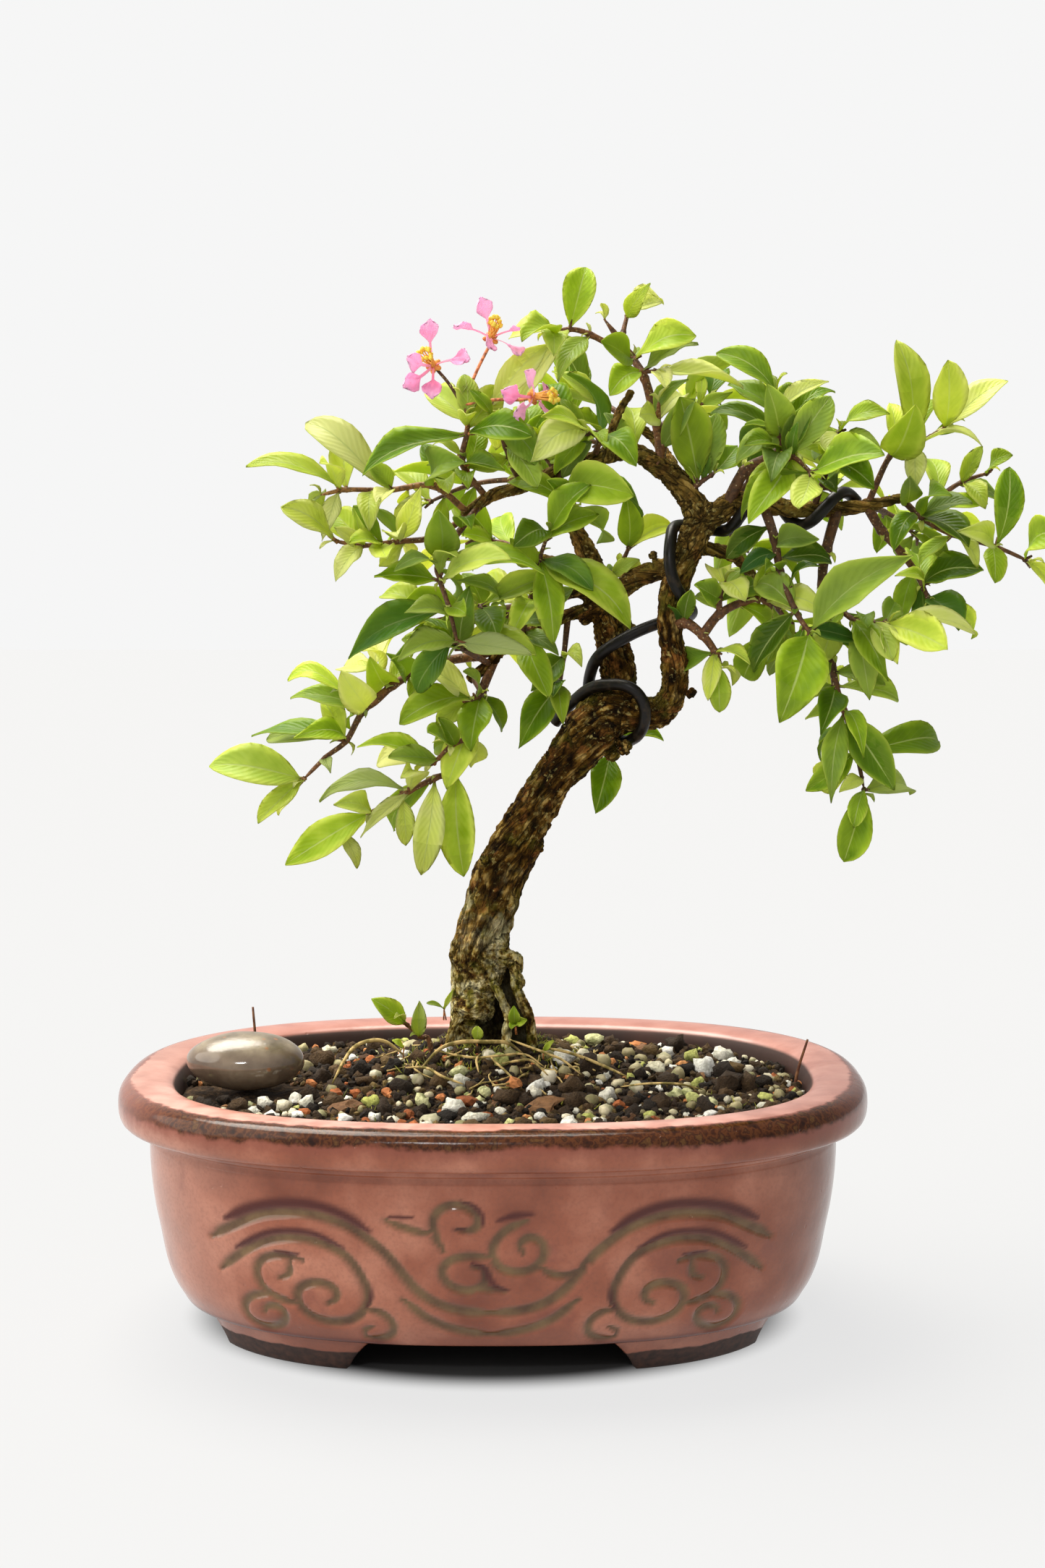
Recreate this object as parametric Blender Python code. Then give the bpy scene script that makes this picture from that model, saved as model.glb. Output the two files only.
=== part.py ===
"""Barbados cherry bonsai in its oval glazed pot.

Lengths, routes and places below are in millimetres, with the pot's centre at X 0, Y 0
and the ground at Z 0. The front is towards -Y. MM turns them into Blender's metres.
"""
import math
import random

import bpy
import bmesh
from mathutils import Vector
from mathutils.bvhtree import BVHTree
from mathutils.geometry import delaunay_2d_cdt

MM = 0.001
GAP = 0.3
SEED = 41

# Pot
POT_LENGTH = 178.0
POT_DEPTH = 134.0
POT_HEIGHT = 60.0
POT_SQUARENESS = 2.5
POT_CORNERS = 32
FOOT_HEIGHT = 8.3
FLOOR_TOP = 13.5
DRAIN_RADIUS = 6.0
DRAIN_OFFSET = 32.0
SCREEN_SIZE = 20.0
SCREEN_THICKNESS = 1.0
# The pot's wall as (inset from its greatest length and depth, z), from the underside round to its floor
POT_OUTSIDE = [(15.2, FOOT_HEIGHT), (12.1, 13.6), (10.0, 21.0), (7.8, 34.0), (7.1, 50.2)]
POT_RIM = [(0.6, 51.4), (0.0, 55.4), (1.2, 59.0), (5.0, POT_HEIGHT), (12.7, 59.2)]
POT_INSIDE = [(14.0, 55.5), (16.2, 37.0), (21.4, 18.0), (28.4, FLOOR_TOP)]
# A corner foot's levels as (z, outer inset, inner inset, x of its near end, x of its far end)
FOOT_LEVELS = [(0.0, 21.0, 32.0, 31.9, 61.8), (FOOT_HEIGHT + 1.2, 15.8, 32.0, 25.4, 66.0)]

# Soil and what stands in it
SOIL_EDGE = 55.0
SOIL_RISE = 8.0
SOIL_SPREAD = 24.0
SOIL_SLACK = 0.6
GRAVEL_INSET = 17.6
GRAVEL_PITCH = 7.0
GRAVEL_ROW_PITCH = 6.1
GRAVEL_JITTER = 1.2
GRAVEL_RELIEF = 2.8
STEM_HOLE_RADIUS = 1.2
CUTTER_TOP = 80.0
STONE_CENTRE = (-58.8, -8.0, 63.2)
STONE_HALF = (14.3, 10.4, 7.0)
# The bed under the stone and the low soil round it, as shares of the stone's plan
STONE_BED = 0.75
STONE_HOLLOW = 1.25

# Tree
ROOT_PLUG_CENTRE = (-0.5, 12.0)
ROOT_PLUG_RADIUS = 11.3
ROOT_PLUG_TOP = 64.5
ROOT_PLUG_BOTTOM = 46.0
WIRE_RADIUS = 1.45
WIRE_CLEARANCE = 0.4
BLADE_THICKNESS = 0.7
PETAL_THICKNESS = 0.62
LEAF_CLEARANCE = 0.4
BUD_LENGTH = 1.2
TRIM_REACH = 14.0
RAY_STEP = 1e-6
# A blade's rows of points as (share of its length, share of its width)
BLADE_STATIONS = [(0.30, 0.90), (0.64, 0.94)]
PETAL_STATIONS = [(0.42, 0.22), (0.80, 1.0)]
BLADE_TEST_START = 0.16
LEAF_ARCH = (0.03, 0.10)
LEAF_FOLD = (0.12, 0.3)
BACK_LEAF_LENGTH = (15, 21)
BACK_LEAF_SHARE = (0.42, 0.5)
CROWN_MIDDLE = (35, 12, 179)

# Woody stems that grew as one with the trunk: points (x, y, z, radius)
WOOD = {
    "trunk": [(-1.2, 12, 63, 8.6), (-2.4, 12, 70, 7.7), (-3, 12, 78, 7.1), (-3.2, 12, 88, 6.8),
              (-1.8, 12, 94.5, 6.3), (1.2, 12, 104, 6.5), (5, 12, 112, 6.3), (8.5, 12, 118.5, 5.4),
              (14.5, 12, 129, 5.1), (19.8, 12, 135.5, 5.9), (24, 12, 141, 6.6), (28, 12, 144.4, 6.2),
              (33, 12, 145.4, 5.0)],
    "old_root": [(2, 10, 91, 1.5), (4.2, 9, 86, 2.1), (5, 8.5, 78, 2.1), (6, 8.5, 70, 2.1), (7.4, 9, 61, 2.3)],
    "front_root": [(0.5, 6.5, 77, 1.6), (2.2, 5, 70, 2.0), (3, 4.6, 61, 2.2)],
    "left_root": [(-8.2, 11, 77, 1.9), (-8.8, 10.6, 69, 2.3), (-9, 10.8, 61, 2.5)],
    "back_root": [(1, 17, 80, 2.2), (2, 18.6, 71, 2.3), (2, 18.6, 61, 2.4)],
    "left_leader": [(28, 14, 146, 4.8), (30.2, 15, 151, 4.5), (30.3, 16, 156.5, 4.3), (28.9, 17, 162.2, 4.1),
                    (27.8, 18, 167.8, 3.6), (25.8, 19, 173.4, 3.3), (24.4, 19, 179, 3.2),
                    (22.3, 20, 184.7, 2.6), (20.4, 20, 189, 2.1), (19, 21, 194, 1.8), (16, 21, 200, 1.5)],
    "left_stub": [(26, 19, 171, 1.9), (22, 17, 174, 1.7), (18, 15, 174, 1.5)],
    "cross_branch": [(25.8, 19, 171.7, 2.2), (30.3, 17, 174.6, 2.5), (35.2, 14, 177.9, 2.5),
                     (40.1, 11, 179.6, 2.5), (44.3, 8, 181.2, 2.2)],
    "low_left_branch": [(27, 19, 169, 2.1), (23, 16, 170, 1.8), (14, 12, 167, 1.6), (3, 8, 161, 1.5),
                        (-1, 7, 157, 1.4), (-6, 6, 153, 1.3)],
    "right_leader": [(31, 12, 145, 4.9), (38.6, 11, 144.9, 4.0), (41.8, 10, 146.6, 3.5), (43.7, 9, 151.2, 3.2),
                     (43.7, 8, 156.8, 3.3), (42.9, 8, 162.4, 3.0), (42.6, 8, 168, 3.1), (43.2, 8, 173.5, 3.3),
                     (44.6, 8, 179, 3.4), (47.1, 8, 184.5, 3.5), (49.2, 8, 190, 3.8), (51, 8, 194, 3.4)],
    "upper_left_arm": [(49.5, 8, 192, 3.4), (47.5, 8, 196, 3.1), (44.1, 7, 200.8, 3.0), (38.7, 6, 204.8, 2.5),
                       (33, 5, 207.6, 2.2), (25, 2, 206, 1.9), (16, 0, 203, 1.7), (7, -2, 199, 1.5),
                       (0, -3, 197, 1.4), (-7, -4, 192, 1.3)],
    "grey_twig": [(27, 2, 206, 1.4), (28, 3, 212, 1.2), (30, 4, 217, 1.1), (33, 4, 222, 1.0)],
    "right_arm": [(49, 8, 191, 3.0), (54.2, 8, 193.3, 2.8), (58.1, 9, 196, 2.5), (67, 9, 195, 2.2),
                  (77, 10, 194, 2.0), (90, 10, 195, 1.6), (99, 10, 197, 1.2)],
    "inner_right_arm": [(46, 8, 185, 2.0), (56, 14, 184, 1.7), (61, 18, 181, 1.4), (65, 21, 176, 1.1)],
    "back_left_arm": [(27, 19, 171, 2.0), (24, 29, 175, 1.6), (18, 40, 181, 1.3), (9, 50, 184, 1.0)],
    "back_right_arm": [(45, 9, 181, 2.2), (50, 22, 187, 1.8), (58, 36, 195, 1.4), (70, 48, 200, 1.0)],
    "back_top_arm": [(47, 8, 196, 1.8), (44, 20, 205, 1.4), (39, 30, 213, 1.2), (32, 39, 219, 1.0)],
}

# Training wire, by hand from its lower to its upper end; it is then laid on the bark
WIRE = [
    (15, 20, 142), (17.5, 19, 147), (22, 13, 150.5), (27.7, 6, 153), (32, 4, 153.3), (36, 4.5, 150.8),
    (38.3, 5.5, 145.8), (37, 7, 141), (33.5, 9, 138.7), (29, 15, 138), (25, 20, 141), (22, 22, 147),
    (22.5, 19, 153), (24.5, 14, 157.5), (28, 11, 161), (32.3, 11, 164), (38.6, 13, 166.7), (44, 14, 168),
    (47.5, 10, 168.3), (47, 5, 169.5), (44, 3, 173), (41.6, 2.5, 178), (41.2, 2.5, 183.3), (42.4, 4, 187.8),
    (46, 10, 192), (50, 13.5, 190), (53.2, 11, 188.2), (57.7, 5, 189), (60.4, 4, 193.7), (63, 8, 198.5),
    (68, 13, 198), (73, 12, 192), (77, 6, 191), (80, 5, 196), (84, 9, 198), (88, 13, 196),
]

# Leafy shoots. Each twig is (first radius, last radius, route, leaves) and the first one grows
# from the wood. Each leaf is (number of its route point, tip, width, turn of its face to the front)
SHOOTS = {
    "upper_left_shoot": [
        (0.9, 0.6, [(-6, -4, 193), (-14, -6, 199), (-24, -7, 198), (-34, -8, 198), (-39, -8, 197)],
         [(3, (-57, -10, 204), 9, 25), (3, (-39, 1, 209), 8, 70), (2, (-44, -2, 214), 10, 40),
          (2, (-26, -17, 194), 6, 50), (1, (-7, -21, 204), 9, 70)]),
    ],
    "left_spur_shoot": [
        (0.9, 0.6, [(-6, -4, 192), (-14, -8, 187), (-22, -11, 186), (-30, -12, 185), (-36, -13, 186)],
         [(4, (-48, -18, 194), 8, 50), (3, (-36, -17, 177), 6, 45), (3, (-38, -2, 193), 8, 70),
          (2, (-22, -12, 200), 7, 85), (2, (-16, -20, 190), 6, 60)]),
    ],
    "front_left_shoot": [
        (0.9, 0.6, [(-3, -3, 195), (-12, -13, 182), (-12, -15, 177), (-10, -18, 171), (-8, -20, 163)],
         [(1, (-12, -25, 193), 9, 85), (2, (-27, -18, 178), 8, 60), (1, (12, -18, 179), 10, 40),
          (2, (7, -24, 179), 9, 60), (3, (-33, -22, 160), 11, 55), (3, (-6, -29, 170), 6, 60),
          (4, (-22, -29, 159), 9, 60), (4, (9, -24, 160), 8, 50)]),
    ],
    "flower_shoot": [
        (0.9, 0.6, [(-2, -3, 197), (-7, -6, 204), (-6, -7, 211), (-6, -7, 214), (-7, -7, 219)],
         [(2, (-30, -14, 202), 9, 40), (3, (-15, 3, 221), 8, 75), (3, (-6, 1, 222), 6, 60),
          (2, (9, -18, 210), 9, 60), (1, (3, -16, 202), 7, 50)]),
    ],
    "upper_front_shoot": [
        (0.9, 0.6, [(7, -2, 199), (5, -6, 203), (3, -8, 208), (1, -7, 214), (-1, -4, 217)],
         [(3, (3, -22, 210), 8, 80), (4, (17, -8, 227), 9, 60), (2, (12, -16, 202), 7, 60)]),
    ],
    "crown_shoot": [
        (1.6, 0.9, [(39, 5, 204), (40, 6, 209), (38, 6, 218), (36, 6, 225), (33, 6, 230), (27, 6, 238)], []),
        (0.9, 0.6, [(33, 6, 230), (23, 4, 235), (18, 2, 236), (14, 0, 235)],
         [(2, (22, 4, 251), 8, 80), (3, (4, -8, 227), 8, 60), (3, (4, 14, 236), 9, 60),
          (1, (14, -6, 223), 8, 50), (2, (8, -8, 220), 7, 50)]),
        (0.9, 0.6, [(35, 6, 227), (33, 2, 229), (35, -1, 226), (38, -2, 226)],
         [(1, (47, -6, 234), 9, 50), (2, (48, -4, 232), 7, 50), (3, (59, -2, 223), 8, 35),
          (1, (25, -11, 232), 8, 75), (2, (27, -11, 222), 7, 60)]),
        (0.9, 0.6, [(31, 6, 233), (31, 8, 236), (32, 10, 240)],
         [(2, (41, 14, 244), 7, 40)]),
        (0.9, 0.6, [(38, 6, 217), (39, 2, 215), (39, 0, 218)],
         [(1, (34, -10, 215), 7, 80), (1, (46, 12, 221), 7, 40)]),
    ],
    "fork_shoot": [
        (0.9, 0.6, [(46, 7, 197), (49, 5, 200), (52, 4, 202)],
         [(1, (44, -2, 220), 12, 80), (1, (38, 15, 205), 8, 30), (2, (60, 13, 209), 8, 60)]),
    ],
    "right_crown_shoot": [
        (1.8, 1.1, [(56, 8, 195), (60, 6, 203), (65, 4, 206), (68, 3, 208)], []),
        (0.9, 0.6, [(68, 3, 208), (68, 2, 211), (67, 2, 217), (67, 2, 221)],
         [(3, (53, 2, 231), 8, 50), (1, (64, -8, 222), 8, 80), (2, (79, 0, 224), 6, 45),
          (2, (56, 6, 224), 7, 50), (1, (52, 8, 218), 6, 40), (1, (57, -6, 205), 7, 60),
          (1, (82, 10, 222), 7, 40)]),
        (0.9, 0.6, [(65, 4, 206), (70, -4, 206), (74, -8, 202)],
         [(2, (88, -23, 206), 11, 60), (2, (70, -20, 194), 8, 80), (1, (59, -14, 190), 9, 55),
          (1, (72, 7, 219), 9, 75), (2, (57, -4, 193), 8, 50)]),
    ],
    "right_high_shoot": [
        (0.9, 0.6, [(77, 10, 194), (80, 4, 205), (82, 4, 212)],
         [(2, (92, -7, 216), 8, 45), (1, (76, -10, 209), 8, 60), (2, (78, -6, 208), 6, 50),
          (1, (89, -8, 201), 8, 70)]),
    ],
    "far_right_top_shoot": [
        (0.9, 0.6, [(90, 10, 195), (95, 6, 207), (100, 4, 209), (107, 2, 213)],
         [(2, (96, 4, 234), 9, 35), (3, (106, -6, 228), 9, 85), (3, (122, 4, 225), 7, 50),
          (1, (98, -9, 218), 10, 80), (2, (115, -2, 209), 6, 15), (2, (100, -6, 204), 6, 50)]),
    ],
    "far_right_shoot": [
        (0.9, 0.6, [(98, 10, 197), (103, 8, 192), (110, 6, 188), (120, 4, 185), (127, 4, 182)],
         [(3, (110, -4, 189), 7, 70), (3, (123, 4, 204), 8, 75), (1, (112, -5, 187), 9, 40),
          (2, (103, 14, 180), 7, 40), (4, (135, -10, 188), 9, 60), (4, (134, 6, 172), 7, 40)]),
        (0.9, 0.6, [(103, 8, 192), (108, 13, 197), (114, 16, 201), (120, 16, 203)],
         [(0, (107, -7, 197), 9, 60), (1, (107, 25, 207), 7, 50), (3, (124, 6, 207), 6, 60),
          (2, (118, 7, 195), 6, 50)]),
    ],
    "right_hanging_shoot": [
        (1.4, 1.1, [(90, 10, 195), (94, 12, 189), (99, 14, 184), (103, 15, 179)], []),
        (0.9, 0.6, [(103, 15, 179), (104, 12, 176), (105, 10, 173)],
         [(1, (116, 1, 180), 9, 60), (2, (110, -3, 166), 9, 70), (1, (104, 26, 184), 8, 60),
          (2, (117, 16, 163), 8, 50)]),
    ],
    "front_hanging_shoot": [
        (1.4, 0.7, [(65, 9, 195), (67, 3, 187), (68, -1, 179), (71, -6, 170), (74, -9, 165)],
         [(4, (96, -18, 183), 13, 60), (4, (66, -21, 145), 13, 80), (3, (61, -6, 156), 8, 40),
          (3, (63, 3, 176), 9, 60)]),
    ],
    "mid_hanging_shoot": [
        (1.5, 0.6, [(83, 10, 194.5), (80, 8, 184), (79, 6, 176), (81, 4, 159), (82, 3, 152), (84, 2, 146),
                    (87, 2, 136), (89, 2, 127)],
         [(4, (77, -10, 142), 9, 70), (4, (98, 6, 149), 8, 40), (5, (80, -6, 125), 8, 30),
          (5, (93, -6, 127), 10, 80), (5, (87, -10, 136), 6, 50), (6, (79, 14, 127), 9, 70),
          (6, (114, 6, 128), 10, 55), (7, (102, 13, 125), 9, 50), (7, (84, 0, 110), 9, 80)]),
        (0.9, 0.6, [(79, 6, 175), (85, -2, 168), (92, -6, 167)],
         [(2, (113, -8, 165), 8, 20), (2, (106, -15, 158), 10, 70), (1, (92, -12, 154), 9, 80),
          (1, (89, -4, 149), 9, 75), (2, (96, 3, 172), 6, 70)]),
    ],
    "low_right_shoot": [
        (1.7, 0.9, [(43, 8, 166), (46, 5, 167), (50, 3, 164), (53, 3, 160), (54, 2, 157)],
         [(3, (61, -6, 157), 6, 30), (3, (47, 12, 153), 7, 70), (4, (54, 0, 146), 6, 50)]),
        (1.3, 0.8, [(50, 3, 164), (54, 3, 169), (60, 3, 172), (65, 4, 172), (67, 6, 165)],
         [(3, (72, -12, 170), 9, 60), (4, (61, 18, 153), 9, 70), (4, (72, 19, 157), 8, 50)]),
        (0.9, 0.6, [(54, 3, 169), (54, 2, 173), (55, 2, 176)],
         [(1, (47, -8, 176), 7, 80), (2, (56, -10, 174), 7, 50), (2, (54, 16, 177), 7, 40)]),
    ],
    "outer_left_shoot": [
        (1.4, 0.6, [(1, 8, 161), (-4, 7, 159), (-15, 4, 157), (-24, 2, 152), (-31, 0, 146), (-35, -1, 139),
                    (-40, -2, 135), (-45, -3, 130)],
         [(7, (-67, -6, 134), 11, 55), (7, (-56, -8, 121), 6, 60), (7, (-52, 2, 121), 5, 60),
          (5, (-46, -11, 141), 8, 55), (5, (-58, 2, 140), 9, 35),
          (5, (-39, -4, 150), 6, 70), (5, (-54, 6, 144), 7, 40)]),
        (0.9, 0.6, [(-24, 2, 152), (-30, -2, 147), (-34, -4, 150)],
         [(2, (-49, 0, 154), 6, 30), (1, (-35, -13, 156), 8, 80), (1, (-46, 8, 145), 8, 50)]),
        (0.9, 0.6, [(-18, 3, 155), (-26, 8, 152), (-29, 12, 156)],
         [(1, (-29, -5, 159), 8, 85), (2, (-38, 24, 156), 8, 60), (1, (-19, 20, 158), 8, 50),
          (2, (-26, 22, 160), 6, 40)]),
    ],
    "inner_left_shoot": [
        (1.3, 0.6, [(1, 8, 160), (-3, 5, 150), (-6, 3, 141), (-9, 2, 132), (-14, 0, 130), (-20, -2, 127),
                    (-29, -3, 122), (-37, -3, 118)],
         [(6, (-49, -8, 110), 9, 55), (4, (-17, -8, 108), 8, 80), (3, (-7, -4, 107), 10, 85),
          (5, (-42, 4, 124), 8, 40), (5, (-21, -14, 132), 7, 60),
          (4, (-25, 12, 116), 7, 60), (6, (-37, -11, 125), 6, 60)]),
        (0.9, 0.6, [(-5, 4, 144), (-6, -2, 140), (-10, -5, 138), (-14, -6, 134)],
         [(0, (-11, -6, 128), 9, 70), (3, (-32, -8, 138), 9, 35), (2, (-15, -17, 142), 7, 60),
          (3, (-34, 0, 129), 8, 60), (1, (-5, 8, 133), 6, 60)]),
    ],
    "left_tip_shoot": [
        (0.9, 0.6, [(-5, 6, 154), (-3, 1, 150), (-5, -3, 149)],
         [(2, (-21, -8, 142), 9, 50), (1, (-10, -11, 143), 9, 60), (1, (2, 11, 141), 7, 50),
          (2, (-19, 0, 152), 8, 50)]),
    ],
    "left_front_shoot": [
        (0.9, 0.6, [(-1, 7, 157), (-7, -8, 161), (-9, -14, 163)],
         [(1, (-23, -22, 159), 9, 55), (1, (10, -22, 160), 8, 45), (2, (-18, -8, 151), 8, 60),
          (2, (-6, -2, 169), 7, 40)]),
    ],
    "small_hanging_shoot": [
        (0.9, 0.6, [(18, 14, 168), (17, 10, 159), (16, 8, 152)],
         [(2, (6, 2, 137), 10, 65), (2, (17, 0, 141), 5, 60), (1, (9, 3, 151), 7, 70)]),
    ],
    "front_riser_shoot": [
        (0.9, 0.6, [(5, 9, 162), (7, 3, 165), (9, -2, 173), (11, -6, 182), (13, -9, 188)],
         [(4, (22, -15, 199), 8, 60), (4, (5, -17, 185), 8, 50), (3, (32, -14, 166), 11, 45),
          (3, (17, -16, 165), 8, 70), (1, (13, -10, 150), 8, 75), (2, (5, -14, 162), 6, 70),
          (3, (23, -18, 175), 7, 60)]),
    ],
    "riser_low_shoot": [
        (0.9, 0.6, [(9, 10, 164), (3, -1, 169), (-3, -7, 171)],
         [(1, (-8, -14, 177), 7, 50), (2, (1, -22, 165), 8, 60), (2, (14, -4, 178), 7, 50)]),
    ],
    "under_arm_shoot": [
        (0.9, 0.6, [(16, 0, 203), (16, -4, 198), (18, -8, 194)],
         [(1, (32, -15, 197), 11, 75), (2, (4, -15, 192), 7, 50), (2, (25, 4, 186), 9, 55),
          (1, (35, 8, 190), 10, 35)]),
    ],
    "over_arm_shoot": [
        (0.9, 0.6, [(24, 2, 206), (25, -4, 211), (22, -8, 211)],
         [(1, (33, -16, 204), 8, 45), (2, (12, -20, 215), 9, 45), (2, (8, -16, 204), 9, 60),
          (1, (14, 3, 211), 8, 60)]),
    ],
    "left_top_shoot": [
        (0.9, 0.6, [(17, 21, 198), (13, 21, 207), (8, 22, 210)],
         [(2, (4, 6, 213), 9, 60), (1, (16, 9, 218), 9, 70), (2, (8, 33, 220), 8, 50),
          (1, (22, 9, 209), 8, 50)]),
    ],
    "leader_shoot": [
        (0.9, 0.6, [(26, 19, 176), (31, 20, 181), (33, 20, 185)],
         [(2, (32, 12, 198), 7, 80), (2, (44, 22, 191), 7, 50), (1, (37, 30, 176), 6, 60)]),
    ],
    "trunk_shoot": [
        (0.9, 0.6, [(31, 14, 145), (30, 25, 138), (29, 27, 134)],
         [(2, (25, 18, 120), 9, 70), (1, (42, 22, 138), 7, 40)]),
    ],
    "seedling": [
        (0.7, 0.6, [(-15, 3, 48), (-15.5, 2.5, 65), (-18, 2, 67), (-21, 1, 70)],
         [(3, (-29, -3, 77), 6, 70), (2, (-18, 0, 76), 4, 70)]),
    ],
}

# Shoots at the back, whose leaves follow the rule alone: route, number of leaves
BACK_SHOOTS = {
    "back_left_tip_shoot": ([(9, 50, 184), (2, 55, 187), (-6, 58, 188)], 5),
    "back_left_low_shoot": ([(18, 40, 181), (12, 46, 173), (6, 50, 166)], 5),
    "back_left_inner_shoot": ([(24, 29, 175), (12, 32, 171), (1, 34, 168), (-8, 36, 166)], 5),
    "back_right_tip_shoot": ([(70, 48, 200), (79, 54, 202), (88, 58, 201)], 5),
    "back_right_low_shoot": ([(58, 36, 195), (62, 44, 188), (66, 52, 181)], 5),
    "back_right_top_shoot": ([(58, 36, 195), (66, 34, 204), (74, 34, 211)], 5),
    "back_crown_shoot": ([(32, 39, 219), (26, 45, 223), (19, 50, 225)], 5),
    "back_crown_right_shoot": ([(39, 30, 213), (46, 34, 219), (54, 38, 222)], 5),
    "back_crown_left_shoot": ([(44, 20, 205), (30, 26, 210), (18, 30, 213)], 5),
    "far_back_shoot": ([(90, 10, 195), (96, 22, 194), (102, 33, 192), (108, 42, 188)], 5),
    "back_hanging_shoot": ([(65, 21, 176), (71, 28, 170), (77, 35, 162)], 5),
    "left_back_shoot": ([(16, 21, 200), (6, 27, 202), (-6, 31, 201), (-16, 34, 197)], 5),
    "low_back_shoot": ([(18, 15, 174), (6, 22, 171), (-6, 26, 169), (-16, 28, 167)], 5),
}

# Blossoms: centre, the way the flower looks, first petal's angle in degrees
BLOSSOMS = {
    "left": ((-13.6, -10.2, 226.4), (-0.25, -0.95, 0.25), 96),
    "top": ((-0.4, -3.5, 233.4), (0.15, -0.9, 0.45), 108),
    "side": ((9.6, -10.2, 219.2), (0.85, -0.5, 0.15), 60),
}
PETAL_LENGTH = 9.0
PETAL_WIDTH = 5.2
CALYX_RADIUS = 1.3
PEDICEL_RADIUS = 0.5
PEDICEL_START = (-7, -7, 217.5)

STALKS = {
    "dry_stalk_left": [(-58.5, 8, 50), (-58.4, 8, 62), (-59.1, 8, 73)],
    "dry_stalk_right": [(72.6, -2, 50), (73, -2, 58), (75.6, -2, 67)],
}
STALK_RADIUS = 0.45

COLOURS = {
    "glaze": ((0.42, 0.20, 0.18), 0.25),
    "soil": ((0.05, 0.035, 0.025), 0.95),
    "plastic_mesh": ((0.03, 0.03, 0.03), 0.6),
    "polished_stone": ((0.12, 0.11, 0.09), 0.2),
    "bark": ((0.13, 0.08, 0.04), 0.9),
    "black_wire": ((0.015, 0.014, 0.014), 0.45),
    "leaf": ((0.16, 0.33, 0.04), 0.45),
    "petal": ((0.85, 0.30, 0.50), 0.6),
    "stamen": ((0.85, 0.62, 0.10), 0.6),
    "dry_stalk": ((0.09, 0.04, 0.02), 0.8),
}


def clear_scene():
    for thing in list(bpy.data.objects):
        bpy.data.objects.remove(thing, do_unlink=True)


def material(name):
    found = bpy.data.materials.get(name)
    if found:
        return found
    colour, roughness = COLOURS[name]
    made = bpy.data.materials.new(name)
    made.use_nodes = True
    shader = made.node_tree.nodes["Principled BSDF"]
    shader.inputs["Base Color"].default_value = (*colour, 1.0)
    shader.inputs["Roughness"].default_value = roughness
    shader.inputs["Metallic"].default_value = 0.0
    return made


def add_object(name, mesh, surface):
    thing = bpy.data.objects.new(name, mesh)
    mesh.materials.clear()
    mesh.materials.append(material(surface))
    bpy.context.scene.collection.objects.link(thing)
    return thing


def mesh_from_bmesh(name, bm):
    bmesh.ops.recalc_face_normals(bm, faces=bm.faces)
    mesh = bpy.data.meshes.new(name)
    bm.to_mesh(mesh)
    bm.free()
    return mesh


def mesh_from_faces(name, points, faces):
    bm = bmesh.new()
    corners = [bm.verts.new(Vector(point) * MM) for point in points]
    for face in faces:
        bm.faces.new([corners[index] for index in face])
    return mesh_from_bmesh(name, bm)


def evaluated_mesh(thing):
    return bpy.data.meshes.new_from_object(thing.evaluated_get(bpy.context.evaluated_depsgraph_get()))


def tube_mesh(name, route, radii, bevel_resolution):
    """A tube along a poly line, with a radius at each point and filled ends."""
    curve = bpy.data.curves.new(name, "CURVE")
    curve.dimensions = "3D"
    curve.bevel_depth = MM
    curve.bevel_resolution = bevel_resolution
    curve.use_fill_caps = True
    line = curve.splines.new("POLY")
    line.points.add(len(route) - 1)
    for point, place, radius in zip(line.points, route, radii):
        point.co = (*(Vector(place) * MM), 1.0)
        point.radius = radius
    guide = bpy.data.objects.new(name, curve)
    bpy.context.scene.collection.objects.link(guide)
    bm = bmesh.new()
    bm.from_mesh(evaluated_mesh(guide))
    bmesh.ops.remove_doubles(bm, verts=bm.verts, dist=1e-7)
    bpy.data.objects.remove(guide, do_unlink=True)
    return mesh_from_bmesh(name, bm)


def boolean_with(thing, others, operation, solver):
    """Join or cut the object with a collection of others, then remove them."""
    group = bpy.data.collections.new(thing.name + "_group")
    bpy.context.scene.collection.children.link(group)
    for mesh in others:
        group.objects.link(bpy.data.objects.new(mesh.name, mesh))
    step = thing.modifiers.new("join", "BOOLEAN")
    step.operation = operation
    step.operand_type = "COLLECTION"
    step.collection = group
    step.solver = solver
    joined = evaluated_mesh(thing)
    thing.modifiers.clear()
    surface = thing.data.materials[0]
    thing.data = joined
    joined.materials.clear()
    joined.materials.append(surface)
    for other in list(group.objects):
        bpy.data.objects.remove(other, do_unlink=True)
    bpy.data.collections.remove(group)


def smooth_route(points, per_span):
    """Points on a smooth curve through the given ones, with so many to each stretch."""
    rows = [Vector(point) for point in points]
    rows = [rows[0] * 2 - rows[1], *rows, rows[-1] * 2 - rows[-2]]
    result = []
    for a, b, c, d in zip(rows, rows[1:], rows[2:], rows[3:]):
        for step in range(per_span):
            t = step / per_span
            result.append((b * 2 + (c - a) * t + (a * 2 - b * 5 + c * 4 - d) * t ** 2
                           + (b * 3 - a - c * 3 + d) * t ** 3) / 2)
    result.append(rows[-2])
    return result


def oval(inset, z, corners=POT_CORNERS):
    """A ring of the pot's rounded-rectangle plan, set in from its greatest length and depth."""
    half_x, half_y = POT_LENGTH / 2 - inset, POT_DEPTH / 2 - inset
    ring = []
    for step in range(corners):
        angle = math.tau * step / corners
        c, s = math.cos(angle), math.sin(angle)
        reach = (abs(c) ** POT_SQUARENESS + abs(s) ** POT_SQUARENESS) ** (-1 / POT_SQUARENESS)
        ring.append((half_x * c * reach, half_y * s * reach, z))
    return ring


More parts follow.
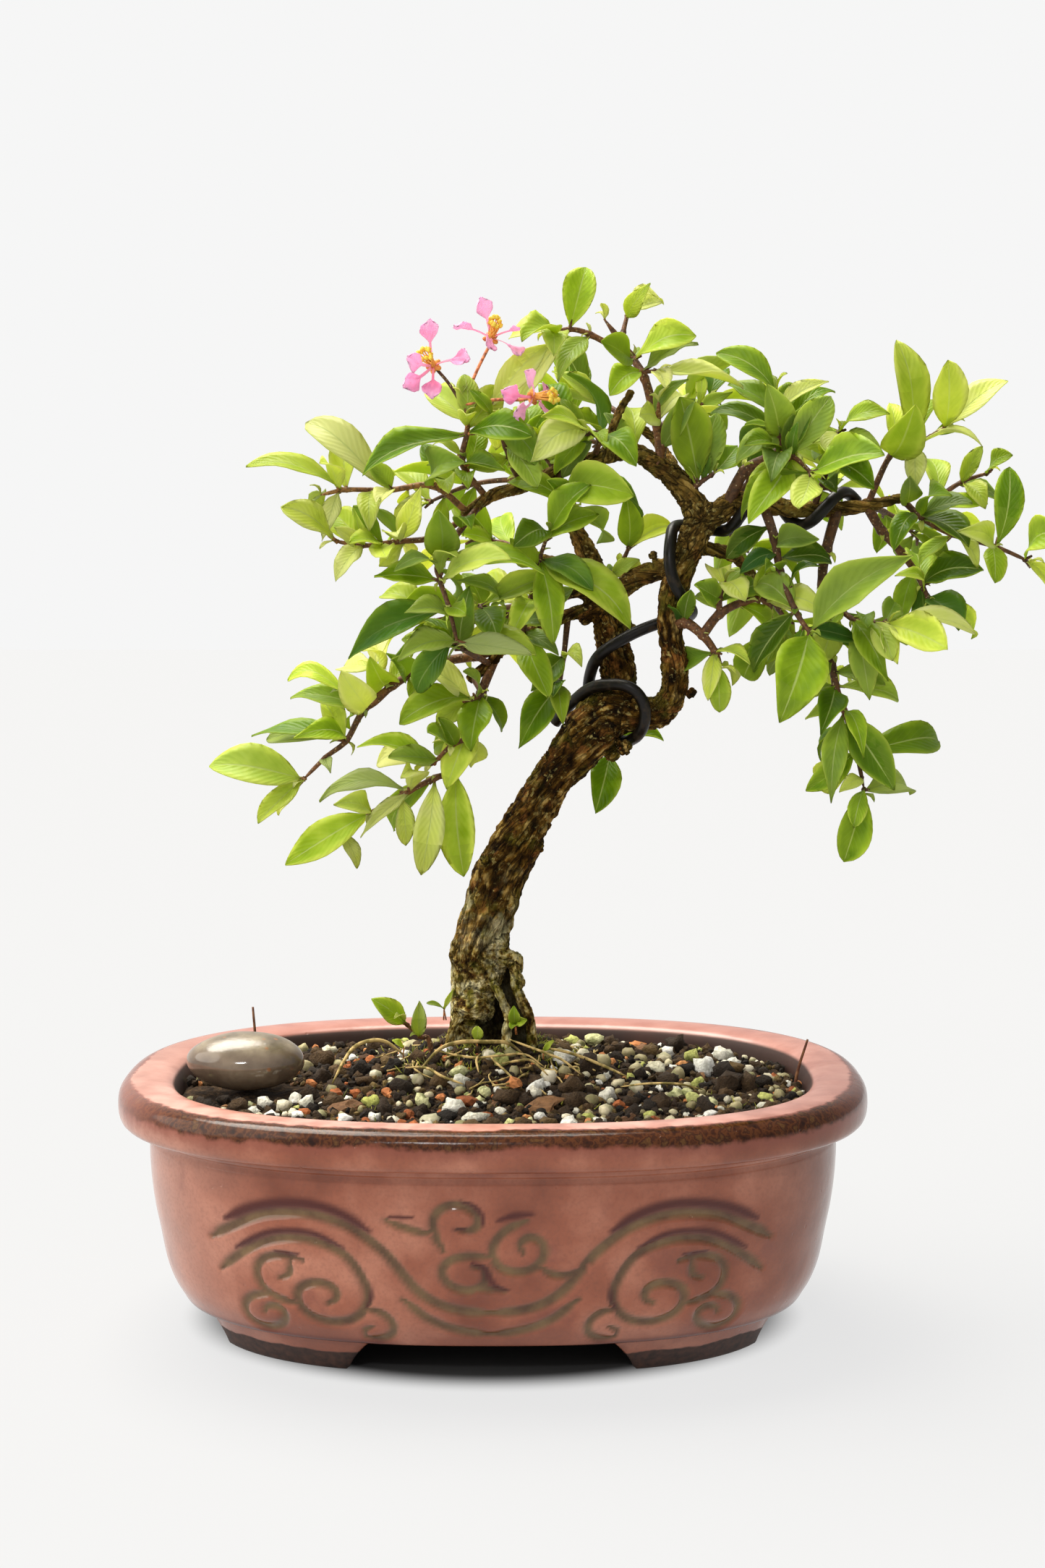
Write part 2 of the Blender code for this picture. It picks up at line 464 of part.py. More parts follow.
def open_loft(bm, rings):
    """Walls through rings of equal count, with a face over the first one; returns the last one's corners."""
    loops = [[bm.verts.new(Vector(point) * MM) for point in ring] for ring in rings]
    for low, high in zip(loops, loops[1:]):
        for index in range(len(low)):
            after = (index + 1) % len(low)
            bm.faces.new((low[index], low[after], high[after], high[index]))
    bm.faces.new(list(reversed(loops[0])))
    return loops[-1]


def loft(name, rings):
    """A closed solid through rings of equal count."""
    bm = bmesh.new()
    bm.faces.new(open_loft(bm, rings))
    return mesh_from_bmesh(name, bm)


def block(name, x, y, half, levels):
    """An upright square block about a place."""
    square = [(x - half, y - half), (x + half, y - half), (x + half, y + half), (x - half, y + half)]
    return loft(name, [[(px, py, z) for px, py in square] for z in levels])


def smooth_shade(thing, degrees=35):
    thing.data.shade_smooth()
    thing.data.set_sharp_from_angle(angle=math.radians(degrees))


def foot_mesh(side_x, side_y):
    """One corner foot: a low block under the curve of the pot's wall, narrower at the ground."""
    rings = []
    for z, outer_inset, inner_inset, near_x, far_x in FOOT_LEVELS:
        ring = []
        for inset, order in ((outer_inset, 1), (inner_inset, -1)):
            half_x, half_y = POT_LENGTH / 2 - inset, POT_DEPTH / 2 - inset
            edge = []
            for step in range(5):
                x = near_x + (min(far_x, half_x * 0.985) - near_x) * step / 4
                y = half_y * (1 - (x / half_x) ** POT_SQUARENESS) ** (1 / POT_SQUARENESS)
                edge.append((x * side_x, y * side_y, z))
            ring += edge[::order]
        rings.append(ring)
    return loft("foot", rings)


def drain_centres():
    return [(-DRAIN_OFFSET, 0.0), (DRAIN_OFFSET, 0.0)]


def cylinder_mesh(name, centre, radius, bottom, top, sides=16):
    ring = [(centre[0] + radius * math.cos(math.tau * step / sides),
             centre[1] + radius * math.sin(math.tau * step / sides)) for step in range(sides)]
    return loft(name, [[(x, y, z) for x, y in ring] for z in (bottom, top)])


def make_pot():
    rings = [oval(inset, z) for inset, z in POT_OUTSIDE + POT_RIM + POT_INSIDE]
    pot = add_object("pot", loft("pot", rings), "glaze")
    feet = [foot_mesh(x, y) for x in (-1, 1) for y in (-1, 1)]
    boolean_with(pot, feet, "UNION", "EXACT")
    holes = [cylinder_mesh("drain", centre, DRAIN_RADIUS, 0, FLOOR_TOP + 5) for centre in drain_centres()]
    boolean_with(pot, holes, "DIFFERENCE", "EXACT")
    smooth_shade(pot)


def make_screens():
    low = FLOOR_TOP + GAP
    for name, (x, y) in zip(("drain_screen_left", "drain_screen_right"), drain_centres()):
        screen = block(name, x, y, SCREEN_SIZE / 2, (low, low + SCREEN_THICKNESS))
        add_object(name, screen, "plastic_mesh")


def soil_height(x, y):
    away = math.hypot(x - ROOT_PLUG_CENTRE[0], y - ROOT_PLUG_CENTRE[1])
    return SOIL_EDGE + SOIL_RISE * math.exp(-(away / SOIL_SPREAD) ** 2)


def gravel_points(rng):
    """Places on the soil's surface: a grain's top, or every other one low between the grains."""
    points = []
    half_x, half_y = POT_LENGTH / 2 - GRAVEL_INSET, POT_DEPTH / 2 - GRAVEL_INSET
    bed = STONE_CENTRE[2] - STONE_HALF[2] - GAP
    for row in range(int(2 * half_y / GRAVEL_ROW_PITCH) + 1):
        for column in range(int(2 * half_x / GRAVEL_PITCH) + 1):
            x = -half_x + GRAVEL_PITCH * (column + 0.5 * (row % 2)) + rng.uniform(-1, 1) * GRAVEL_JITTER
            y = -half_y + GRAVEL_ROW_PITCH * row + rng.uniform(-1, 1) * GRAVEL_JITTER
            if abs(x / half_x) ** POT_SQUARENESS + abs(y / half_y) ** POT_SQUARENESS > 1:
                continue
            raised = (row // 2 + column) % 2
            z = soil_height(x, y) + GRAVEL_RELIEF * (raised * rng.uniform(0.6, 1.0) + 0.1 * rng.random())
            from_stone = math.hypot((x - STONE_CENTRE[0]) / STONE_HALF[0], (y - STONE_CENTRE[1]) / STONE_HALF[1])
            if from_stone < STONE_HOLLOW:
                z = bed if from_stone < STONE_BED else min(z, bed)
            points.append((x, y, z))
    return points


def make_soil():
    """The soil fills the pot up to a mound round the trunk, and its gravel is raised as relief."""
    walls = [(inset + SOIL_SLACK, z) for inset, z in reversed(POT_INSIDE)]
    walls[0] = (walls[0][0], FLOOR_TOP + GAP)
    walls[-1] = (walls[-1][0], SOIL_EDGE)
    rings = [oval(inset, z) for inset, z in walls]
    bm = bmesh.new()
    brim = open_loft(bm, rings)
    grains = gravel_points(random.Random(SEED))
    flat = [Vector(point[:2]) for point in rings[-1] + grains]
    border = [(index, (index + 1) % POT_CORNERS) for index in range(POT_CORNERS)]
    corners = brim + [bm.verts.new(Vector(point) * MM) for point in grains]
    for face in delaunay_2d_cdt(flat, border, [], 1, 1e-4)[2]:
        bm.faces.new([corners[index] for index in face])
    soil = add_object("soil", mesh_from_bmesh("soil", bm), "soil")
    top = FLOOR_TOP + SCREEN_THICKNESS + 2 * GAP
    cutters = [block("screen_room", x, y, SCREEN_SIZE / 2 + GAP, (0, top)) for x, y in drain_centres()]
    cutters.append(cylinder_mesh("trunk_hole", ROOT_PLUG_CENTRE, ROOT_PLUG_RADIUS + GAP,
                                 ROOT_PLUG_BOTTOM - GAP, CUTTER_TOP))
    for route in list(STALKS.values()) + [SHOOTS["seedling"][0][2]]:
        foot = route[0]
        cutters.append(cylinder_mesh("stem_hole", foot, STEM_HOLE_RADIUS, foot[2] - GAP, CUTTER_TOP, 8))
    boolean_with(soil, cutters, "DIFFERENCE", "EXACT")


def make_stone():
    bm = bmesh.new()
    bmesh.ops.create_icosphere(bm, subdivisions=2, radius=1.0)
    bmesh.ops.scale(bm, vec=Vector(STONE_HALF) * MM, verts=bm.verts)
    bmesh.ops.translate(bm, vec=Vector(STONE_CENTRE) * MM, verts=bm.verts)
    stone = add_object("polished_stone", mesh_from_bmesh("polished_stone", bm), "polished_stone")
    smooth_shade(stone, 80)


def make_trunk():
    plug = cylinder_mesh("trunk", ROOT_PLUG_CENTRE, ROOT_PLUG_RADIUS, ROOT_PLUG_BOTTOM, ROOT_PLUG_TOP)
    trunk = add_object("trunk", plug, "bark")
    stems = []
    for name, points in WOOD.items():
        widest = max(point[3] for point in points)
        stems.append(tube_mesh(name, [point[:3] for point in points], [point[3] for point in points],
                               2 if widest > 5 else 1 if widest > 2.15 else 0))
    boolean_with(trunk, stems, "UNION", "MANIFOLD")
    smooth_shade(trunk)
    return trunk


def wood_distance(place):
    """Distance from a place to the nearest stem's surface, and the way out from its core line."""
    best = None
    for points in WOOD.values():
        for start, end in zip(points, points[1:]):
            a, b = Vector(start[:3]), Vector(end[:3])
            along = max(0.0, min(1.0, (place - a).dot(b - a) / (b - a).length_squared))
            out = place - a.lerp(b, along)
            distance = out.length - (start[3] + (end[3] - start[3]) * along)
            if best is None or distance < best[0]:
                best = (distance, out.normalized())
    return best


def wire_route():
    """The wire's hand-made route, pushed out until it lies on the bark."""
    route = smooth_route(WIRE, 2)
    for turn in range(12):
        for index, place in enumerate(route):
            distance, way = wood_distance(place)
            short = WIRE_RADIUS + WIRE_CLEARANCE - distance
            if short > 0:
                route[index] = place + way * short
        if turn < 9:
            inner = [(a + b * 2 + c) / 4 for a, b, c in zip(route, route[1:], route[2:])]
            route = [route[0], *inner, route[-1]]
    return route


def make_wire():
    route = wire_route()
    mesh = tube_mesh("training_wire", route, [WIRE_RADIUS] * len(route), 1)
    wire = add_object("training_wire", mesh, "black_wire")
    smooth_shade(wire)
    return wire


def blade(base, tip, width, face, stations, thickness, arch, fold, grow=0.0, start=0.0):
    """Points and triangles of one thin leaf or petal: pointed at both ends, arched between them
    and folded on its midrib, with two rows of three points on each face."""
    base, tip = Vector(base), Vector(tip)
    along = (tip - base).normalized()
    length = (tip - base).length + grow
    up = face - along * face.dot(along)
    if up.length < 0.1:
        up = along.orthogonal()
    up.normalize()
    side = along.cross(up)
    rise = up * (thickness / 2 + grow)
    upper, under = [], []
    for t, share in stations:
        middle = base + along * (length * t) + up * (arch * length * 4 * t * (1 - t))
        half = width / 2 * share + grow
        lift = up * (fold * half)
        for place in (middle + side * half + lift, middle, middle - side * half + lift):
            upper.append(place + rise)
            under.append(place - rise)
    points = [base + along * (length * start), *upper, *under, base + along * length]
    root, point = 0, 13
    faces = []
    for first, flip in ((1, 1), (7, -1)):
        a, b, c, d, e, f = range(first, first + 6)
        sheet = [(root, a, b), (root, b, c), (a, d, e), (a, e, b), (b, e, f), (b, f, c), (d, point, e), (e, point, f)]
        faces += [corners[::flip] for corners in sheet]
    for (a, b), flip in (((1, 4), 1), ((3, 6), -1)):
        rim = [(root, a + 6, a), (a, a + 6, b + 6), (a, b + 6, b), (b, b + 6, point)]
        faces += [corners[::flip] for corners in rim]
    return points, faces


def leaf_blade(leaf, grow=0.0):
    return blade(leaf["base"], leaf["tip"], leaf["width"], leaf["face"], BLADE_STATIONS, BLADE_THICKNESS,
                 leaf["arch"], leaf["fold"], grow, BLADE_TEST_START if grow else 0.0)


def search_tree(points, faces):
    return BVHTree.FromPolygons([Vector(point) * MM for point in points], faces)


def mesh_tree(mesh):
    faces = [tuple(poly.vertices) for poly in mesh.polygons]
    return BVHTree.FromPolygons([vert.co for vert in mesh.vertices], faces)


def inside(tree, place):
    """True where a ray from the place crosses the closed surface an odd number of times."""
    origin, way, crossings = place * MM, Vector((0.31, 0.17, 0.94)).normalized(), 0
    spot = tree.ray_cast(origin, way)[0]
    while spot:
        crossings += 1
        spot = tree.ray_cast(spot + way * RAY_STEP, way)[0]
    return crossings % 2 == 1


def room_round(place, trees):
    """How far a place outside the wood and wire is from their nearest surface; 0 inside them."""
    if any(inside(tree, place) for tree in trees):
        return 0.0
    return min(tree.find_nearest(place * MM)[3] for tree in trees) / MM


def grown_from(route, radius, trees):
    """The route from where its first ring stands clear of the wood that it grows from."""
    steps = 60
    fine = [a.lerp(b, step / steps) for a, b in zip(route, route[1:]) for step in range(steps)] + [route[-1]]
    start = 0
    for index, (here, after) in enumerate(zip(fine, fine[1:])):
        if (here - route[0]).length > TRIM_REACH:
            break
        along = (after - here).normalized()
        across = along.orthogonal().normalized()
        other = along.cross(across)
        ring = [here + (across * math.cos(a) + other * math.sin(a)) * radius
                for a in (math.tau * step / 8 for step in range(8))]
        if min(room_round(place, trees) for place in ring) < GAP:
            start = index + 1
    head = fine[start]
    rest = [place for number, place in enumerate(route) if number * steps > start + steps / 10]
    return [head, *rest]


def plain_twig(route, first_radius, last_radius):
    """A leafy twig, which runs a little past its last leaves into a bud."""
    route = route[:-1] + [route[-1] + (route[-1] - route[-2]).normalized() * BUD_LENGTH]
    radii = [first_radius + (last_radius - first_radius) * step / (len(route) - 1) for step in range(len(route))]
    return tube_mesh("twig", route, radii, 0)


def pedicels():
    """The flower stalks, which part at the spur's tip and reach each flower from behind."""
    meshes = []
    for centre, way, _ in BLOSSOMS.values():
        axis = Vector(way).normalized()
        start = Vector(PEDICEL_START)
        end = Vector(centre) - axis * (CALYX_RADIUS + GAP)
        behind = end - axis * 2.5
        route = [start, start.lerp(behind, 0.55) + Vector((0, 0, 0.6)), behind, end]
        meshes.append(tube_mesh("pedicel", route, [PEDICEL_RADIUS] * len(route), 0))
    return meshes


def fits(leaf, own_leaves, obstacles):
    """True where a leaf, with its clearance, crosses nothing of another node and no other leaf."""
    mine = search_tree(*leaf_blade(leaf, LEAF_CLEARANCE))
    return not any(mine.overlap(tree) for tree in obstacles) and not any(mine.overlap(tree) for tree in own_leaves)


def turned(leaf, yaw, pitch):
    """The same leaf swung about its base."""
    reach = Vector(leaf["tip"]) - leaf["base"]
    across = reach.orthogonal().normalized()
    other = reach.normalized().cross(across)
    bent = reach.normalized() + across * math.tan(yaw) + other * math.tan(pitch)
    return {**leaf, "tip": leaf["base"] + bent.normalized() * reach.length}


def settle(leaf, own_leaves, obstacles, tries=24):
    """Swing a leaf outwards in a spiral until it is clear, or give it up."""
    for step in range(tries):
        swing = math.radians(2.6 * step)
        angle = 2.4 * step
        bent = turned(leaf, swing * math.cos(angle), swing * math.sin(angle))
        if fits(bent, own_leaves, obstacles):
            return bent
    return None


def listed_leaves(twigs, rng):
    """The leaves that are placed by hand, each with its own slight arch and fold."""
    front, up = Vector((0, -1, 0)), Vector((0, 0, 1))
    leaves = []
    for _, _, route, marks in twigs:
        for number, tip, width, turn in marks:
            angle = math.radians(turn)
            leaves.append({"base": Vector(route[number]), "tip": Vector(tip), "width": width,
                           "face": up * math.cos(angle) + front * math.sin(angle),
                           "arch": rng.uniform(*LEAF_ARCH), "fold": rng.uniform(*LEAF_FOLD)})
    return leaves


def ruled_leaves(route, count, rng):
    """Leaves in opposite pairs from the twig's tip backwards, each pair turned from the last."""
    middle = Vector(CROWN_MIDDLE)
    leaves = []
    for number in range(count):
        pair = number // 2
        point = len(route) - 1 - pair * (len(route) - 1) / max(1, (count + 1) // 2)
        low = min(int(point), len(route) - 2)
        base = Vector(route[low]).lerp(Vector(route[low + 1]), point - low)
        along = (Vector(route[low + 1]) - Vector(route[low])).normalized()
        across = along.orthogonal().normalized()
        other = along.cross(across)
        angle = math.pi * (number % 2) + math.pi / 2 * pair + rng.uniform(-0.4, 0.4)
        out = across * math.cos(angle) + other * math.sin(angle)
        away = (base - middle).normalized()
        way = (along * 0.55 + out * 0.8 + away * 0.35 + Vector((0, 0, -0.05))).normalized()
        length = rng.uniform(*BACK_LEAF_LENGTH)
        leaves.append({"base": base, "tip": base + way * length,
                       "width": length * rng.uniform(*BACK_LEAF_SHARE),
                       "face": Vector((0, 0, 1)) + away * 0.7,
                       "arch": rng.uniform(*LEAF_ARCH), "fold": rng.uniform(*LEAF_FOLD)})
    return leaves


def make_shoots(trunk, wire):
    """Every leafy shoot is one node: its twigs, joined, with the leaves that find room."""
    wood_trees = [mesh_tree(trunk.data), mesh_tree(wire.data)]
    plans = {}
    for name, twigs in SHOOTS.items():
        plans[name] = [[first, last, [Vector(place) for place in route]] for first, last, route, _ in twigs]
    for name, (route, _) in BACK_SHOOTS.items():
        plans[name] = [[0.9, 0.6, [Vector(place) for place in route]]]
    twig_meshes, twig_trees = {}, {}
    for name, twigs in plans.items():
        if name != "seedling":
            twigs[0][2] = grown_from(twigs[0][2], twigs[0][0], wood_trees)
        twig_meshes[name] = [plain_twig(route, first, last) for first, last, route in twigs]
        if name == "flower_shoot":
            twig_meshes[name] += pedicels()
        twig_trees[name] = [mesh_tree(mesh) for mesh in twig_meshes[name]]
    petals = [search_tree(*shape) for name in BLOSSOMS for shape in blossom_shapes(name)]
    rng = random.Random(SEED)
    leaf_trees = {name: [] for name in plans}
    leaf_meshes = {name: [] for name in plans}
    for name in plans:
        if name in SHOOTS:
            wanted = listed_leaves(SHOOTS[name], rng)
        else:
            wanted = ruled_leaves(BACK_SHOOTS[name][0], BACK_SHOOTS[name][1], rng)
        others = [tree for other in plans if other != name for tree in twig_trees[other] + leaf_trees[other]]
        for leaf in wanted:
            placed = settle(leaf, leaf_trees[name], wood_trees + others + petals)
            if placed:
                shape = leaf_blade(placed)
                leaf_trees[name].append(search_tree(*shape))
                leaf_meshes[name].append(mesh_from_faces("leaf", *shape))
    for name in plans:
        shoot = add_object(name, twig_meshes[name][0], "leaf")
        boolean_with(shoot, twig_meshes[name][1:] + leaf_meshes[name], "UNION", "MANIFOLD")


def flower_axes(way):
    axis = Vector(way).normalized()
    right = axis.cross(Vector((0, 0, 1))).normalized()
    return axis, right, right.cross(axis)


def blossom_shapes(name):
    """The five clawed petals of one flower, opening from its centre."""
    centre, way, first = BLOSSOMS[name]
    axis, right, up = flower_axes(way)
    shapes = []
    for number in range(5):
        angle = math.radians(first + 72 * number)
        out = right * math.cos(angle) + up * math.sin(angle)
        tip = Vector(centre) + out * PETAL_LENGTH + axis * 1.5
        shapes.append(blade(centre, tip, PETAL_WIDTH, axis, PETAL_STATIONS, PETAL_THICKNESS, -0.04, 0.25))
    return shapes


def ball_mesh(name, centre, radius):
    bm = bmesh.new()
    bmesh.ops.create_icosphere(bm, subdivisions=1, radius=radius * MM)
    bmesh.ops.translate(bm, vec=Vector(centre) * MM, verts=bm.verts)
    return mesh_from_bmesh(name, bm)


def make_blossoms():
    for name, (centre, way, _) in BLOSSOMS.items():
        axis = flower_axes(way)[0]
        calyx = ball_mesh("blossom_" + name, centre, CALYX_RADIUS)
        blossom = add_object("blossom_" + name, calyx, "petal")
        petals = [mesh_from_faces("petal", *shape) for shape in blossom_shapes(name)]
        boolean_with(blossom, petals, "UNION", "MANIFOLD")
        heart = Vector(centre) + axis * CALYX_RADIUS
        column = tube_mesh("stamens_" + name, [heart, heart + axis * 1.2, heart + axis * 2.2], [0.7, 1.5, 1.1], 1)
        add_object("stamens_" + name, column, "stamen")


def make_stalks():
    for name, route in STALKS.items():
        add_object(name, tube_mesh(name, route, [STALK_RADIUS] * len(route), 1), "dry_stalk")


def seat_origin():
    """Parent every piece to one empty that puts the origin under the middle of the whole."""
    pieces = [thing for thing in bpy.data.objects if thing.type == "MESH"]
    corners = [vert.co for thing in pieces for vert in thing.data.vertices]
    lows = [min(corner[axis] for corner in corners) for axis in range(3)]
    highs = [max(corner[axis] for corner in corners) for axis in range(3)]
    holder = bpy.data.objects.new("bonsai", None)
    bpy.context.scene.collection.objects.link(holder)
    holder.location = (-(lows[0] + highs[0]) / 2, -(lows[1] + highs[1]) / 2, -lows[2])
    for thing in pieces:
        thing.parent = holder


clear_scene()
make_pot()
make_screens()
make_soil()
make_stone()
wood = make_trunk()
wire = make_wire()
make_shoots(wood, wire)
make_blossoms()
make_stalks()
seat_origin()
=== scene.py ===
"""The looks of a barbados cherry bonsai in its oval glazed pot."""
import math
import random
from typing import NamedTuple

import bmesh
import bpy
from mathutils import Matrix, Vector, noise
from mathutils.kdtree import KDTree


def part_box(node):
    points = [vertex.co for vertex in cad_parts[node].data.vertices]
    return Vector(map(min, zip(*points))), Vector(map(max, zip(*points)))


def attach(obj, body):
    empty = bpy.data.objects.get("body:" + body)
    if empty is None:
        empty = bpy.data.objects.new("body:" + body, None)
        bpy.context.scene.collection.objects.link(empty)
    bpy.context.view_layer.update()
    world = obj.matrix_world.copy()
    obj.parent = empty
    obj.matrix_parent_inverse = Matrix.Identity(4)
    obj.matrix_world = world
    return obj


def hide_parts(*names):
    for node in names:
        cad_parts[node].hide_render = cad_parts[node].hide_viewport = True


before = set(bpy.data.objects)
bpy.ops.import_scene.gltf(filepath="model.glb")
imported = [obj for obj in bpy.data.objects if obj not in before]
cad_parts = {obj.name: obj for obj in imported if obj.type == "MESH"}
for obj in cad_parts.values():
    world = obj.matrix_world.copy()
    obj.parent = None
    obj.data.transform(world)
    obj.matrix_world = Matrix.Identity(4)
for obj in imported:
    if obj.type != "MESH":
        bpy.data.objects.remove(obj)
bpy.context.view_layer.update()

# Lengths, routes and places are in millimetres, with the pot's centre at X 0, Y 0 and the ground at Z 0.
# The front is towards -Y. MIDDLE is where that centre lies in the frame.
MM = 0.001
SEED = 41
POT_LOW, POT_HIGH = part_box("pot")
MIDDLE = Vector(((POT_LOW[0] + POT_HIGH[0]) / 2, (POT_LOW[1] + POT_HIGH[1]) / 2, 0))
RIGHT = Vector((1, 0, 0))
UP = Vector((0, 0, 1))
FRONT = Vector((0, -1, 0))

# Camera and light
PHOTO_HEIGHT = 2168
PHOTO_FOCUS = 3062
SENSOR_HEIGHT = 36.0
CAMERA_PLACE = Vector((6.96, -527.65, 174.7))
CAMERA_TILT = 5.0
BACKDROP_LIGHT = 0.922
ROOM_LIGHT = 0.74
ROOM_SIDES = (1.34, 0.5)
BACK_SUN = 5.2
FRONT_SUN = 2.0
BACK_SUN_SPREAD = math.radians(40)
FRONT_SUN_SPREAD = math.radians(60)
BACK_SUN_WAY = Vector((0.3, -0.42, -1.3))
FRONT_SUN_WAY = Vector((1.4, 0.3, -0.9))
SUN_TINT = (1.0, 0.96, 0.87)
WINDOW_PLACE = Vector((-0.25, -1.5, 1.1))
WINDOW_AIM = Vector((0, 0, 0.1))
WINDOW_SIZE = (0.22, 0.1)
WINDOW_POWER = 5.0
FLOOR_SHADE = 0.07
FLOOR_HALF = 6.0

# Pot
POT_LENGTH = (POT_HIGH[0] - POT_LOW[0]) / MM
POT_DEPTH = (POT_HIGH[1] - POT_LOW[1]) / MM
POT_SQUARENESS = 2.5
POT_STEPS = 640
# The wall's section as (inset from the greatest length and depth, z)
POT_WALL = [(16.6, 8.3), (15, 8.7), (13.9, 10.4), (12.1, 13.7), (10.6, 18.2), (9.3, 25.2), (8.2, 31),
    (7.5, 36.6), (7.15, 42), (7.1, 46.9)]
POT_RIM = [(7.5, 47.9), (7.1, 48.5), (6.2, 49), (6.1, 49.7), (5.4, 50.4), (2.2, 50.8), (0.8, 51.5),
    (0.15, 53), (0, 55.4), (0.3, 57.5), (1.2, 58.9), (2.7, 59.7), (5, 60), (8.6, 59.9), (11.4, 59.4),
    (12.9, 58.4), (13.6, 57)]
POT_INSIDE = [(14, 55.5), (14.9, 46), (16.2, 37), (18.4, 27), (21.4, 18), (24.6, 14.6), (28.4, 13.5)]
UNDERSIDE = 8.3
POT_FLOOR = 13.5
SPIN_RADIUS = 200.0
WALL_PITCH = 0.65
RIM_PITCH = 0.8
INSIDE_PITCH = 2.6
DRAIN_RADIUS = 6.0
DRAIN_OFFSET = 32.0
FOOT_TOP = 9.5
# Where a corner foot lies along the pot, at the ground and at its top, and how far its outer and inner
# walls are set in
FOOT_LOW, FOOT_HIGH = (31.9, 61.8), (25.4, 66.0)
FOOT_OUTER, FOOT_INNER = (21.0, 15.8), 32.0
# Heights between which the glaze breaks dark on the rim's shoulder; insets of the shoulder and the inside
BREAK_LOW, BREAK_HIGH = 54.6, 59.7
SHOULDER_INSET, INSIDE_INSET = 6.0, 12.1
GLAZE_LINE = 5.0

# Scrolls cut into the pot's wall: half width and the points of each stroke, as (way round the wall from
# the front's middle, z). The side ones are on both halves of the wall, left and right.
GROOVE_DEPTH = 0.75
STROKE_PITCH = 0.3
# The line that ways round the wall are measured along: its steps in a quarter turn, and its inset
ARC_STEPS = 360
WALL_INSET = 9.0
SIDE_SCROLLS = [
    (1.15, [(-65, 31), (-61.5, 33), (-57.5, 35), (-53.5, 37), (-49.5, 38.5), (-45, 39.2), (-41, 39.5),
        (-37, 39.1), (-33.5, 38.2), (-30, 36.8), (-27.5, 35.2), (-25, 33.2), (-22.5, 30.9), (-20.5, 28.3),
        (-18.5, 25.5), (-16.5, 23), (-13.5, 20.6), (-10, 18.9), (-6, 17.9), (-2, 17.5), (0, 17.5)]),
    (1.05, [(-64, 23.5), (-60.5, 26), (-56, 29), (-52, 31.2), (-48.5, 32.6), (-45, 33.4), (-41, 33.6),
        (-37.5, 33), (-34.5, 32), (-31.7, 30.3), (-29.8, 28), (-28.4, 25.3), (-27.5, 22.5), (-27.6, 19.6),
        (-29, 17.1), (-31.5, 15.2), (-34, 14.4), (-37, 14.1), (-39.5, 14.5), (-42, 15.6), (-43.6, 17.4),
        (-44.1, 19.5), (-43.4, 21.5), (-41.2, 22.9), (-38.2, 23.4), (-35.8, 22.8), (-34.6, 21.3),
        (-35.2, 19.5), (-37, 18.7)]),
    (0.95, [(-44.2, 17.9), (-48, 18.5), (-51, 19.6), (-52.8, 21.3), (-53.6, 23.6), (-53.1, 26), (-51, 28),
        (-47.8, 29), (-44.5, 29), (-41.5, 28.4)]),
    (0.95, [(-45.2, 28.9), (-44.9, 26.5), (-45.9, 24.5), (-48, 23.7)]),
    (0.95, [(-50.5, 19.3), (-54.5, 18.8), (-57.6, 17.2), (-59.2, 14.8), (-58.9, 12.3), (-56.8, 10.9),
        (-53.6, 10.7), (-50.2, 12), (-48.3, 14.2), (-48.9, 16), (-50.8, 16.6), (-52.8, 15.9),
        (-53.8, 14.5)]),
    (0.95, [(-28.6, 17.6), (-26, 17.5), (-23.6, 16.2), (-22.3, 14), (-23.2, 11.6), (-26, 10.3),
        (-29.2, 10.5)]),
    (0.85, [(-29.4, 10.7), (-29.2, 12.5), (-27.4, 13.4)]),
    (1.05, [(-19.5, 20.5), (-17, 18.3), (-14.5, 16.2), (-11, 14.3), (-7, 13), (-3, 12.2), (0, 12)]),
]
MIDDLE_SCROLLS = [
    (0.9, [(-22.5, 39), (-20.5, 38), (-17.5, 37), (-14.5, 36.2), (-12, 36.5)]),
    (1, [(-6.7, 37), (-4.2, 36.8), (-2.6, 38.2), (-3, 40.4), (-5, 42), (-8, 42.5), (-10.6, 41.5),
        (-12, 39.5), (-12.1, 37.2), (-11.5, 34.7), (-10, 32)]),
    (1, [(0.5, 30.6), (-4.5, 30.8), (-8.4, 30), (-10.4, 27.8), (-10, 25.2), (-7.7, 23.4), (-4.5, 22.8),
        (-1.8, 23.9), (-0.9, 26), (-1.6, 27.9), (-3.6, 28.4)]),
    (0.9, [(-3.5, 22.8), (0.5, 23.1), (3.5, 22.6)]),
    (1, [(8, 39), (4.6, 37.6), (2, 35.5), (0.6, 33), (0.7, 30.2), (2.6, 28), (6, 27.2), (9.6, 28.2),
        (11.6, 31), (11, 34), (8.4, 35.2), (6.4, 33.6), (7, 31.6)]),
    (0.9, [(10.5, 28.6), (13.5, 26.6), (17.5, 26.4), (21, 28.4)]),
]
